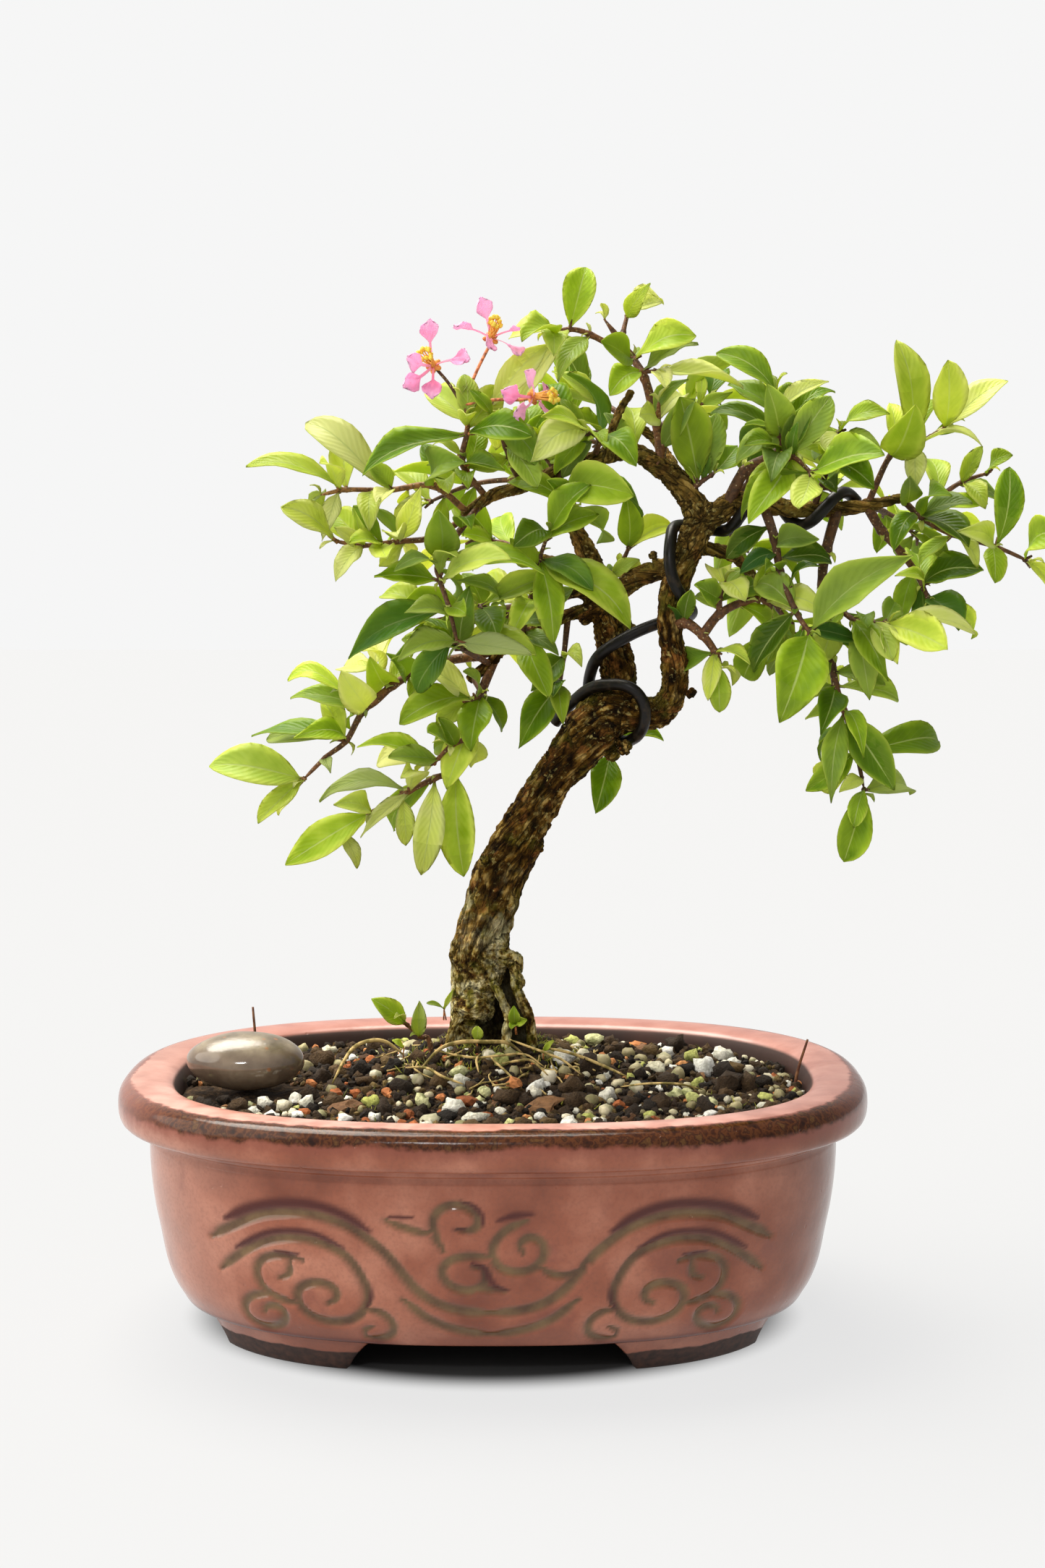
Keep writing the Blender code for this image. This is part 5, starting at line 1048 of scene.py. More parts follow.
def way_round(angle, table):
    """Signed way round the wall from the middle of the nearer side, front or back."""
    turn = angle + math.pi / 2 if angle < 0 else angle - math.pi / 2
    share = abs(turn) / (math.pi / 2) * (len(table) - 1)
    low = min(int(share), len(table) - 2)
    return math.copysign(between(table[low], table[low + 1], share - low), turn)


def stroke_samples(side_strokes, middle_strokes):
    """Points along the strokes with the half width at each, and a tree to search them."""
    places, widths = [], []
    for sides, strokes in (((-1, 1), side_strokes), ((1,), middle_strokes)):
        for half, stroke in strokes:
            line = resampled(smooth_route([(s, z, 0) for s, z in stroke], 5), STROKE_PITCH)
            for index, point in enumerate(line):
                from_end = min(index, len(line) - 1 - index) * STROKE_PITCH
                for side in sides:
                    places.append(Vector((point.x * side, point.y, 0)))
                    widths.append(half * (0.5 + 0.5 * ease(0, 4, from_end)))
    return search_points(places), widths


def stroke_share(samples, place, soft):
    """1 in a stroke's middle and 0 outside it."""
    tree, widths = samples
    index, distance = tree.find(place)[1:]
    return 1 - ease(widths[index] * (1 - soft), widths[index] * (1 + soft), distance)


def add_foot(bm, side_x, side_y):
    """A corner foot, narrower at the ground, with soft edges."""
    foot = bmesh.new()
    way_up = foot.verts.layers.float.new("way_up")
    bmesh.ops.create_cube(foot, size=2.0)
    bmesh.ops.subdivide_edges(foot, edges=foot.edges, cuts=11, use_grid_fill=True)
    for vert in foot.verts:
        u, v, w = [(value + 1) / 2 for value in vert.co]
        flare = w ** 1.6
        inset = between(FOOT_INNER, between(*FOOT_OUTER, w), v)
        half_x, half_y = POT_LENGTH / 2 - inset, POT_DEPTH / 2 - inset
        near, far = [between(low, high, flare) for low, high in zip(FOOT_LOW, FOOT_HIGH)]
        x = between(near, min(far, half_x * 0.985), u)
        y = half_y * (1 - (x / half_x) ** POT_SQUARENESS) ** (1 / POT_SQUARENESS)
        vert.co = (x * side_x, y * side_y, w * FOOT_TOP)
        vert[way_up] = w * 2.0
    soften(foot, 2, 0.5)
    low = min(vert.co.z for vert in foot.verts)
    for vert in foot.verts:
        vert.co.z = (vert.co.z - low) * FOOT_TOP / (FOOT_TOP - low)
    bm.from_mesh(as_mesh("foot", foot))


def close_floor(bm, ring, z):
    """Close the pot's floor at one height, flat, with a round edge left open for each drain hole."""
    circles = []
    for x in (-DRAIN_OFFSET, DRAIN_OFFSET):
        place = Matrix.Translation((x, 0, z))
        circle = bmesh.ops.create_circle(bm, segments=32, radius=DRAIN_RADIUS, matrix=place)["verts"]
        circles.append(list(dict.fromkeys(edge for vert in circle for edge in vert.link_edges)))
    for vert in dict.fromkeys(vert for edge in ring for vert in edge.verts):
        vert.co.z = z
    paint(bmesh.ops.triangle_fill(bm, use_beauty=True, use_dissolve=False, normal=UP,
                                  edges=ring + circles[0] + circles[1])["geom"], 1)
    return circles


def build_pot():
    """The glazed pot: a spun section pushed out to the pot's plan, with its scrolls cut in."""
    wall, rim, inside = [resampled(smooth_route([(inset, z, 0) for inset, z in rows], per_span), pitch)
                         for rows, per_span, pitch in ((POT_WALL, 6, WALL_PITCH), (POT_RIM, 6, RIM_PITCH),
                                                       (POT_INSIDE, 4, INSIDE_PITCH))]
    section = wall + rim + inside
    ways = run_lengths(section)
    wall_end = ways[len(wall) - 1]
    rows = [(way, point.x, point.y) for way, point in zip(ways, section) if way > wall_end]
    break_start = min(way for way, inset, z in rows if inset < SHOULDER_INSET and z > BREAK_LOW)
    break_end = min(way for way, inset, z in rows if inset < SHOULDER_INSET and z > BREAK_HIGH)
    inner_start = min(way for way, inset, z in rows if way > break_end and inset > INSIDE_INSET)
    bm = bmesh.new()
    layers = float_layers(bm, "way_up", "groove", "pool_and_crease_shade")
    line = []
    for way, point in zip(ways, section):
        line.append(bm.verts.new((SPIN_RADIUS - point.x, 0, point.y)))
        line[-1][layers["way_up"]] = way
    edges = [bm.edges.new(pair) for pair in zip(line, line[1:])]
    bmesh.ops.spin(bm, geom=line + edges, cent=(0, 0, 0), axis=UP, angle=math.tau, steps=POT_STEPS,
                   use_merge=True, use_duplicate=False)
    quarter = run_lengths([plan_place(math.pi / 2 * (step / ARC_STEPS - 1), WALL_INSET, 0)
                           for step in range(ARC_STEPS + 1)])
    grooves = stroke_samples(SIDE_SCROLLS, MIDDLE_SCROLLS)
    pools = stroke_samples(SIDE_POOLS, MIDDLE_POOLS)
    for vert in bm.verts:
        angle = math.atan2(vert.co.y, vert.co.x)
        inset, z = SPIN_RADIUS - math.hypot(vert.co.x, vert.co.y), vert.co.z
        if 1 < vert[layers["way_up"]] < wall_end:
            place = Vector((way_round(angle, quarter), z, 0))
            groove = stroke_share(grooves, place, 0.5)
            vert[layers["groove"]] = groove
            # Painted shade in the crease where the wall overhangs the feet, laid on with the dark pooled
            # glaze
            crease_shade = ease(10.4, 8.8, z) * ease(20, 27, abs(vert.co.x) * POT_LENGTH / 2 / SPIN_RADIUS)
            vert[layers["pool_and_crease_shade"]] = max(stroke_share(pools, place, 0.7), 0.85 * crease_shade)
            inset += groove * GROOVE_DEPTH
        vert.co = plan_place(angle, inset, z)
    rings = [edge for edge in bm.edges if edge.is_boundary]
    low_ring = [edge for edge in rings if edge.verts[0].co.z < POT_FLOOR - 1]
    floor_ring = [edge for edge in rings if edge.verts[0].co.z > POT_FLOOR - 1]
    for low, high in zip(close_floor(bm, low_ring, UNDERSIDE), close_floor(bm, floor_ring, POT_FLOOR)):
        paint(bmesh.ops.bridge_loops(bm, edges=low + high)["faces"], 1)
    for side_x in (-1, 1):
        for side_y in (-1, 1):
            add_foot(bm, side_x, side_y)
    glaze = glaze_finish(break_start, break_end, inner_start)
    clay = earth_finish("bare_clay", 0.85, 0.3, 2.5, [(0.3, 58, 38, 30), (0.7, 92, 64, 50)], (0.8, 4), 0.15)
    finish_piece("glazed_pot", bm, [glaze, clay], ["pot"])


def trunk_away(x, y):
    return math.hypot(x - TRUNK_FOOT.x, y - TRUNK_FOOT.y)


def stone_share(x, y):
    """Below 1 under the polished stone."""
    return math.hypot((x - STONE_CENTRE.x) / STONE_HALF[0], (y - STONE_CENTRE.y) / STONE_HALF[1])


def bed_height(x, y):
    """The fine soil's surface, hollow under the stone and rough everywhere."""
    z = SOIL_EDGE + SOIL_RISE * math.exp(-(trunk_away(x, y) / SOIL_SPREAD) ** 2)
    z += 0.9 * noise.noise(Vector((x, y, 0)) * 0.16) + 0.5 * noise.noise(Vector((x, y, 7)) * 0.5)
    z += 1.2 * math.exp(-((trunk_away(x, y) - 12) / 6) ** 2)
    return z if stone_share(x, y) > 1.2 else min(z, STONE_CENTRE.z - STONE_HALF[2] * 0.75 + 2.0)


def build_soil_bed():
    """Fine soil that fills the pot up to just under its grains."""
    bm = bmesh.new()
    bmesh.ops.create_grid(bm, x_segments=110, y_segments=84, size=1)
    brim = POT_INSIDE[0][0] + 0.5
    for vert in bm.verts:
        u, v = vert.co.x, vert.co.y
        share = max(abs(u), abs(v))
        place = plan_place(math.atan2(v, u), brim, 0) * share
        vert.co = (place.x, place.y, bed_height(place.x, place.y) - 0.8 * ease(0.97, 1, share))
    ring = [edge for edge in bm.edges if edge.is_boundary]
    for inset, z in POT_INSIDE[1:]:
        grown = bmesh.ops.extrude_edge_only(bm, edges=ring)["geom"]
        ring = [part for part in grown if isinstance(part, bmesh.types.BMEdge)]
        for vert in dict.fromkeys(vert for edge in ring for vert in edge.verts):
            angle = math.atan2(vert.co.y / POT_DEPTH, vert.co.x / POT_LENGTH)
            vert.co = plan_place(angle, inset + 0.6, z + 0.3)
    bmesh.ops.edgeloop_fill(bm, edges=ring)
    stops = [(0.3, 26, 19, 13), (0.5, 52, 38, 25), (0.7, 84, 64, 42)]
    earth = earth_finish("dark_soil", 0.95, 0.2, 1.6, stops, (0.9, 5), 0.8)
    finish_piece("fine_soil", bm, [earth], ["soil"])


def crumb(bm):
    return ball(bm, 1)


def lump(bm):
    return ball(bm, 2)


def pebble(bm):
    return bmesh.ops.create_uvsphere(bm, u_segments=9, v_segments=6, radius=1.0)["verts"]


def moss_blade(bm):
    return bmesh.ops.create_cone(bm, cap_ends=True, segments=4, radius1=1.0, radius2=0.2, depth=1.4)["verts"]


# Loose grains: shape, roughness, name of the piece, whether it is smooth, and its look
GRAIN_KINDS = {
    "crumbs": (crumb, 0.5, "soil_crumbs", False, (
        "soil_crumb", 0.95, [(0, 20, 14, 9), (0.5, 48, 34, 20), (0.85, 84, 64, 34), (1, 128, 106, 62)],
        1.2, 0.3)),
    "lumps": (lump, 0.8, "soil_lumps", True, (
        "soil_lump", 0.95, [(0, 26, 19, 12), (0.5, 58, 43, 28), (0.9, 90, 68, 42), (1, 112, 90, 54)],
        0.9, 0.7)),
    "pebbles": (pebble, 0.3, "pebbles", True, (
        "pebble", 0.6, [(0, 138, 126, 84), (0.3, 178, 166, 122), (0.7, 214, 202, 166), (1, 238, 228, 202)],
        1.8, 0.15, 0.45)),
    "pumice": (lump, 0.75, "pumice_grains", True, (
        "pumice", 0.95, [(0, 222, 214, 188), (0.4, 242, 238, 222), (1, 254, 252, 248)], 0.9, 0.5, 0.25)),
    "mossy": (lump, 0.7, "mossy_pumice", True, (
        "mossy_pumice", 0.95, [(0, 176, 180, 84), (0.5, 210, 212, 130), (1, 232, 230, 178)], 0.9, 0.5, 0.8)),
    "clay": (lump, 0.5, "clay_grains", False, (
        "fired_clay", 0.9, [(0, 140, 76, 40), (0.5, 186, 106, 58), (1, 214, 150, 92)], 1.2, 0.3)),
    "chips": (lump, 0.7, "bark_chips", False, (
        "bark_chip", 0.9, [(0, 46, 30, 18), (0.5, 92, 62, 38), (1, 142, 102, 66)], 1.4, 0.4)),
}


# The other grains: share of each kind, how much more at the right, least half size, and what is added to it
GRAIN_SHARES = [("lumps", 0.5, 0, 1.1, 2), ("pebbles", 0.06, 0.1, 0.9, 1), ("pumice", 0.06, 0.06, 0.9, 1.5),
                ("mossy", 0.05, 0, 0.8, 1.4), ("clay", 0.13, -0.06, 0.6, 1.1), ("chips", 0.08, 0, 1.2, 2.2)]


def scattered(shapes):
    """One mesh of many small shapes, made in groups. Each is (make, matrix, tone, roughness, seed)."""
    bm = bmesh.new()
    for start in range(0, len(shapes), 60):
        part = bmesh.new()
        tone_layer = part.verts.layers.float.new("tone")
        for make, matrix, tone, rough, seed in shapes[start:start + 60]:
            shift = Vector((seed * 7.3 % 91, seed * 3.1 % 57, seed))
            for vert in make(part):
                push = 1 + rough * noise.noise(vert.co * 1.5 + shift)
                vert.co = matrix @ (vert.co * push)
                vert[tone_layer] = tone
        mesh = as_mesh("part", part)
        bm.from_mesh(mesh)
        bpy.data.meshes.remove(mesh)
    return bm


def grain_matrix(place, sizes, rng, tilt=0.5):
    """A grain's place, turn and half sizes."""
    turn = Matrix.Rotation(rng.uniform(0, math.tau), 4, "Z")
    for axis in "XY":
        turn = turn @ Matrix.Rotation(rng.uniform(-tilt, tilt), 4, axis)
    return Matrix.Translation(place) @ turn @ Matrix.Diagonal((*sizes, 1))


def on_bed(x, y, rise):
    return Vector((x, y, bed_height(x, y) + rise))


def free_ground(x, y, margin):
    """True inside the pot's rim, and outside the stone and the trunk."""
    half_x = POT_LENGTH / 2 - POT_INSIDE[0][0] - margin
    half_y = POT_DEPTH / 2 - POT_INSIDE[0][0] - margin
    inside = abs(x / half_x) ** POT_SQUARENESS + abs(y / half_y) ** POT_SQUARENESS <= 1
    return inside and stone_share(x, y) >= 1.0 + margin * 0.04 and trunk_away(x, y) > 8 + margin


def build_grains():
    """Crumbs, pebbles, pumice, clay bits and bark chips over the whole soil."""
    rng = random.Random(SEED + 1)
    found = {name: [] for name in GRAIN_KINDS}
    taken = []

    def settle(name, x, y, reach, sizes, tone, sink, tilt=0.5):
        """Lay a grain on the soil where no other grain lies."""
        if any((ox - x) ** 2 + (oy - y) ** 2 < (other + reach) ** 2 * 0.72 for ox, oy, other in taken):
            return
        taken.append((x, y, reach))
        make, rough = GRAIN_KINDS[name][:2]
        matrix = grain_matrix(on_bed(x, y, sizes[2] * sink), sizes, rng, tilt)
        found[name].append((make, matrix, tone, rough, len(taken)))

    for name, rows in LARGE_GRAINS.items():
        for x, y, wide, tall in rows:
            depth = wide * (0.6 if name == "chips" else rng.uniform(0.75, 0.95))
            if free_ground(x, y, wide * 0.6):
                settle(name, x, y, wide * 0.8, (wide, depth, tall), rng.random(), 0.7, 0.3)
    for _ in range(GRAIN_TRIES):
        x, y = [rng.uniform(-half, half) for half in GRAIN_REACH]
        draw, tone, size = rng.random(), rng.random(), rng.random()
        squash, stretch = rng.uniform(0.6, 0.95), rng.uniform(0.65, 1.0)
        right = ease(-30, 40, x)
        for name, share, at_right, least, more in GRAIN_SHARES:
            draw -= share + at_right * right
            if draw <= 0:
                half = least + more * size ** 2
                deep, tall = (0.5, 0.3) if name == "chips" else (stretch, squash)
                if free_ground(x, y, half):
                    settle(name, x, y, half, (half, half * deep, half * tall), tone, 0.45)
                break
    columns, rows = [int(2 * half / CRUMB_PITCH) for half in CRUMB_REACH]
    for row in range(rows):
        for column in range(columns):
            x, y = [CRUMB_PITCH * (count + rng.uniform(-0.6, 0.6)) - half
                    for count, half in zip((column, row), CRUMB_REACH)]
            half, tone = 0.55 + 0.9 * rng.random() ** 2, rng.random()
            sizes = (half, half * 0.8, half * rng.uniform(0.45, 0.9))
            matrix = grain_matrix(on_bed(x, y, half * 0.35), sizes, rng, 1.2)
            if free_ground(x, y, 0.6 + half):
                found["crumbs"].append((crumb, matrix, tone, 0.5, len(found["crumbs"])))
    for name, (_, _, piece, smooth, looks) in GRAIN_KINDS.items():
        finish_piece(piece, scattered(found[name]), [grain_finish(*looks)], smooth=smooth)


def build_moss():
    """Tufts of moss blades on the soil, mostly round the trunk's foot."""
    rng = random.Random(SEED + 2)
    blades = []
    for number in range(MOSS_BLADES):
        near = number < MOSS_BY_TRUNK
        if near:
            away, angle = 9 + 13 * rng.random() ** 1.6, rng.uniform(0, math.tau)
            x, y = TRUNK_FOOT.x + away * math.cos(angle) * 1.25, TRUNK_FOOT.y + away * math.sin(angle)
        else:
            x, y = [rng.uniform(-half, half) for half in MOSS_REACH]
        patch = noise.noise(Vector((x, y, 3)) * 0.16)
        if not free_ground(x, y, 0.5) or patch < (-0.1 if near else 0.16):
            continue
        tall, wide = rng.uniform(0.9, 2.2), rng.uniform(0.16, 0.3)
        matrix = grain_matrix(on_bed(x, y, tall * 0.55), (wide, wide, tall), rng, 0.9)
        blades.append((moss_blade, matrix, rng.random(), 0.0, number))
    green = [(0.0, 58, 58, 16), (0.5, 116, 120, 34), (1.0, 186, 184, 70)]
    finish_piece("moss", scattered(blades), [grain_finish("moss_blade", 0.8, green, 2.0, 0.1)])


def build_straws():
    """Dry surface roots and straws on the soil round the trunk, with fine side threads."""
    rng = random.Random(SEED + 3)
    tubes = []
    for radius, route in STRAWS:
        line = smooth_route(route, 5)
        tubes.append([(*place, radius * (1 - 0.6 * abs(2 * index / (len(line) - 1) - 1) ** 3))
                      for index, place in enumerate(line)])
    for _ in range(STRAW_THREADS):
        away, angle = rng.uniform(11, 26), rng.uniform(0, math.tau)
        x, y = TRUNK_FOOT.x + away * math.cos(angle) * 1.3, TRUNK_FOOT.y + away * math.sin(angle)
        turn, length = rng.uniform(0, math.tau), rng.uniform(2.0, 6.0)
        route = []
        for step in range(4):
            px, py = x + math.cos(turn) * length * step, y + math.sin(turn) * length * step
            turn += rng.uniform(-0.6, 0.6)
            if free_ground(px, py, 0.5):
                route.append(on_bed(px, py, rng.uniform(0.6, 2.2)))
        if len(route) == 4:
            tubes.append([(*place, rng.uniform(0.12, 0.3)) for place in smooth_route(route, 4)])
    bm = bmesh.new()
    add_tubes(bm, tubes, 1)
    straw = plain_finish("dry_straw", (192, 164, 104), 0.8, (112, 98, 44), 2.2)
    finish_piece("dry_straws", bm, [straw])


def build_stone():
    bm = bmesh.new()
    for vert in ball(bm, 6):
        way = vert.co.copy()
        push = 0.985 + 0.035 * noise.noise(way * 1.4) - 0.02 * ease(0.2, 1.0, way.z)
        vert.co = STONE_CENTRE + Vector([part * half * push for part, half in zip(way, STONE_HALF)])
    finish_piece("rounded_stone", bm, [stone_finish()], ["polished_stone"])


def stem_axes():
    """Points along every woody stem: place, way, radius, run along the stem, its number and its name."""
    rows = []
    for number, (name, points) in enumerate(WOOD.items()):
        line = smooth_route(points, 8)
        run = 0.0
        for a, b in zip(line, line[1:]):
            way = (b - a).to_3d()
            rows.append((a.to_3d(), way.normalized(), a[3], run, number, name))
            run += way.length
    return rows


def build_trunk():
    """Trunk, roots and arms blended into one skin, with bark cut into it."""
    bm = bmesh.new()
    add_tubes(bm, [[tuple(point) for point in smooth_route(points, 6)] for points in WOOD.values()], 5)
    for centre, half in BURLS:
        ball(bm, 3, Matrix.Translation(centre), half)
    whole = evaluated(as_mesh("skin", bm), BARK_VOXEL)
    bm = bmesh.new()
    bm.from_mesh(whole)
    soften(bm, 3, 0.6)
    bm.normal_update()
    rows = stem_axes()
    tree = search_points([row[0] for row in rows])
    crevice_shade = bm.verts.layers.float.new("crevice_shade")
    unwrapped = bm.verts.layers.float_vector.new("grain")
    pushes = []
    for vert in bm.verts:
        place, way, radius, run, number, name = rows[tree.find(vert.co)[1]]
        off = vert.co - place
        along = off.dot(way)
        out = off - way * along
        grain = Vector((out.x + number * 17.0, out.y + number * 5.0, out.z + (run + along) * 0.3))
        vert[unwrapped] = grain
        size = min(1.0, radius / 5.5)
        pitch = 0.42 + 0.5 * (1 - size)
        ridge = abs(noise.noise(grain * pitch))
        crack = 1 - min(1.0, ridge * 5.5)
        small = 1 - min(1.0, abs(noise.noise(grain * pitch * 2.3 + Vector((9, 4, 2)))) * 5.0)
        lumpy = sum(noise.noise(vert.co * scale) * share for scale, share in BARK_LUMPS)
        # Dark cracks in the bark, deepened with painted shade
        dark = crack * 0.8 + small * 0.45
        if name in ("trunk", "apron") and vert.co.y < 14:
            # Painted shade in the hollow between the trunk and its right root, and under the apron
            edge = 0.22 * max(0.0, vert.co.z - 76) - 0.6
            dark += ease(edge, edge + 1.4, vert.co.x) * ease(88, 84, vert.co.z)
            dark += ease(71.0, 69.2, vert.co.z) * ease(-7.6, -5.6, vert.co.x)
        # The stem in the hollow behind the trunk is painted dark all over, as shade
        vert[crevice_shade] = 1.0 if name == "shaded_hollow_back" else min(1.0, dark)
        relief = 0.6 * lumpy + 0.35 * min(1.0, ridge * 3) - 0.5 * crack - 0.25 * small
        pushes.append((0.25 + 0.75 * size) * relief)
    for vert, push in zip(bm.verts, pushes):
        vert.co += vert.normal * push
    finish_piece("bonsai_trunk", bm, [bark_finish()], ["trunk"])


def wood_distance(place):
    """Distance from a place to the nearest stem's surface, and the way out from its core line."""
    found = []
    for points in WOOD.values():
        for start, end in zip(points, points[1:]):
            a, b = Vector(start[:3]), Vector(end[:3])
            along = max(0.0, min(1.0, (place - a).dot(b - a) / (b - a).length_squared))
            out = place - a.lerp(b, along)
            found.append((out.length - between(start[3], end[3], along), out))
    distance, out = min(found, key=lambda pair: pair[0])
    return distance, out.normalized()


def build_wire():
    """The wire's given route, pushed out until it lies on the bark."""
    route = smooth_route(WIRE, 2)
    for turn in range(12):
        for index, place in enumerate(route):
            distance, way = wood_distance(place)
            route[index] = place + way * max(0.0, WIRE_RADIUS + WIRE_CLEARANCE - distance)
        if turn < 9:
            inner = [(a + b * 2 + c) / 4 for a, b, c in zip(route, route[1:], route[2:])]
            route = [route[0], *inner, route[-1]]
    bm = bmesh.new()
    add_tubes(bm, [[(*place, WIRE_RADIUS) for place in smooth_route(route, 4)]], 6)
    finish_piece("black_wire", bm, [wire_finish()], ["training_wire"])


class Leaf(NamedTuple):
    """A leaf's ends, its width, the way it faces, its shape, and how near it grows to its twig's end."""
    base: Vector
    tip: Vector
    width: float
    face: Vector
    arch: float
    fold: float
    late: float = 1.0


def turned(leaf, yaw, pitch):
    """The same leaf swung about its base."""
    reach = leaf.tip - leaf.base
    across, other = cross_ways(reach)
    bent = reach.normalized() + across * math.tan(yaw) + other * math.tan(pitch)
    return leaf._replace(tip=leaf.base + bent.normalized() * reach.length)


def listed_leaf(route, mark, arch, fold):
    """A leaf that is placed as listed."""
    number, *tip, width, turn = mark
    return Leaf(Vector(route[number]), Vector(tip), width, swung(UP, FRONT, math.radians(turn)), arch, fold,
                number / max(1, len(route) - 1))


def ruled_leaves(route, rng):
    """Leaves in opposite pairs from the twig's tip backwards, each pair turned from the last."""
    leaves = []
    for number in range(BACK_LEAVES):
        pair = number // 2
        point = len(route) - 1 - pair * (len(route) - 1) / ((BACK_LEAVES + 1) // 2)
        low = min(int(point), len(route) - 2)
        start, end = Vector(route[low]), Vector(route[low + 1])
        base, along = start.lerp(end, point - low), (end - start).normalized()
        angle = math.pi * (number % 2) + math.pi / 2 * pair + rng.uniform(-0.4, 0.4)
        out, away = swung(*cross_ways(along), angle), (base - CROWN_MIDDLE).normalized()
        way = (along * 0.55 + out * 0.8 + away * 0.35 + Vector((0, 0, -0.05))).normalized()
        length = rng.uniform(*BACK_LEAF_LENGTH)
        width = length * rng.uniform(*BACK_LEAF_SHARE)
        leaves.append(Leaf(base, base + way * length, width, UP + away * 0.7, rng.uniform(*LEAF_ARCH),
                           rng.uniform(*LEAF_FOLD), point / (len(route) - 1)))
    return leaves


def as_built(leaf, tree):
    """The leaf as the CAD swung it clear of its neighbours, found by its tip among the node's points."""
    for step in range(SETTLE_TRIES):
        swing, angle = math.radians(2.6 * step), 2.4 * step
        bent = turned(leaf, swing * math.cos(angle), swing * math.sin(angle))
        if tree.find(bent.tip)[2] < TIP_MATCH:
            return bent
    return leaf


def add_leaf(bm, layers, leaf, young, rng, rows=12, columns=6):
    """One thin closed blade with its midrib: pointed, blunt or narrow, arched, folded and twisted."""
    grid = bmesh.ops.create_grid(bm, x_segments=rows, y_segments=columns, size=1)["verts"]
    faces = list(dict.fromkeys(face for vert in grid for face in vert.link_faces))
    length = (leaf.tip - leaf.base).length
    along = (leaf.tip - leaf.base).normalized()
    up = leaf.face - along * leaf.face.dot(along)
    if up.length < 0.1:
        up = along.orthogonal()
    up.normalize()
    side = along.cross(up)
    shape = rng.random()
    skew, full, wide = rng.uniform(0.88, 1.06), rng.uniform(0.66, 0.82), rng.uniform(0.44, 0.5)
    if shape > 0.82:
        # A blunt leaf
        skew, full, wide = rng.uniform(0.76, 0.9), rng.uniform(0.95, 1.15), 0.4
    elif shape < 0.22 + 0.3 * young:
        # A slender, pointed leaf
        skew, full = rng.uniform(1.12, 1.34), rng.uniform(0.56, 0.66)
    arch, peak = leaf.arch + rng.uniform(-0.02, 0.17), rng.uniform(0.8, 1.6)
    droop, twist = rng.uniform(-0.02, 0.07), rng.uniform(-1.0, 1.0)
    fold = leaf.fold * rng.uniform(1.0, 2.8)
    wave, waves, phase = rng.uniform(0.015, 0.06), rng.uniform(1.2, 2.8), rng.uniform(0, math.tau)
    bend, tone = rng.uniform(-0.05, 0.05), rng.random()
    for vert in grid:
        t, v = (vert.co.x + 1) / 2, vert.co.y
        t = t - 0.07 * math.sin(math.tau * t) * 0.9
        u = max(0.0, (t - LEAF_STALK_SHARE) / (1 - LEAF_STALK_SHARE))
        half = leaf.width * wide * max(0.0, math.sin(math.pi * min(1.0, u) ** skew)) ** full
        half = max(half, 0.3 if t < 0.5 else 0.1)
        curve = 4 * t ** peak * (1 - t ** peak)
        middle = leaf.base + along * (length * t) + side * (bend * length * math.sin(math.pi * t))
        middle += up * (length * (arch * curve - droop * max(0.0, t - 0.55) ** 2 * 5))
        turn = twist * (t - 0.4)
        lift = fold * half * abs(v) ** 1.25
        lift += wave * leaf.width * v ** 2 * math.sin(t * math.tau * waves + phase + (0 if v > 0 else 2.1))
        vert.co = middle + swung(side, up, turn) * (half * v) + swung(up, -side, turn) * lift
        for name, value in zip(LEAF_LAYERS, (t, v, young, tone)):
            vert[layers[name]] = value
    paint(bmesh.ops.solidify(bm, geom=faces, thickness=0.26 if leaf.width > 4 else 0.18)["geom"], 1)


def filling_leaves(twigs, leaves, wanted, rng):
    """More leaves in the gaps of a shoot, none of them beyond its outer ones."""
    middle = sum([leaf.tip for leaf in leaves], Vector()) / len(leaves)
    reach = max((leaf.tip - middle).length for leaf in leaves)
    taken = [leaf.base.lerp(leaf.tip, share) for leaf in leaves for share in (0.55, 1.0)]
    found = []
    for _ in range(FILLING_TRIES * wanted):
        route = rng.choice(twigs)[0]
        number = rng.randrange(1, len(route))
        a, b = Vector(route[number - 1]), Vector(route[number])
        base, along = a.lerp(b, rng.uniform(0.2, 1.0)), (b - a).normalized()
        out = Vector((rng.uniform(-1, 1), rng.uniform(-1, 0.7), rng.uniform(-0.8, 1)))
        out = (out - along * out.dot(along)).normalized()
        way = (along * rng.uniform(-0.1, 0.9) + out + UP * 0.1).normalized()
        length = rng.uniform(*FILLING_LENGTH)
        tip, heart = base + way * length, base + way * length * 0.55
        if (tip - middle).length > reach * 0.9 or len(found) >= wanted:
            continue
        if any((tip - place).length < TIP_GAP or (heart - place).length < HEART_GAP for place in taken):
            continue
        if wood_distance(tip)[0] < WOOD_GAP or wood_distance(heart)[0] < WOOD_GAP:
            continue
        taken += [tip, heart]
        face = swung(UP, FRONT, math.radians(rng.uniform(20, 85))) + out * 0.2
        found.append(Leaf(base, tip, length * rng.uniform(*FILLING_SHARE), face, rng.uniform(*LEAF_ARCH),
                          rng.uniform(*LEAF_FOLD), number / len(route)))
    return found


def node_leaves(place, way, rng, size):
    """A pair of small young leaves, or buds, in the angles at a node of a twig."""
    angle = rng.uniform(0, math.tau)
    leaves = []
    for turn in (0, math.pi):
        out = swung(*cross_ways(way), angle + turn)
        reach = (way * 0.7 + out * 0.75 + UP * 0.15).normalized()
        length = size * rng.uniform(0.75, 1.15)
        leaves.append(Leaf(place, place + reach * length, length * rng.uniform(0.42, 0.52),
                           UP + out * 0.2 + FRONT * 0.25, *YOUNG_SHAPE))
    return leaves


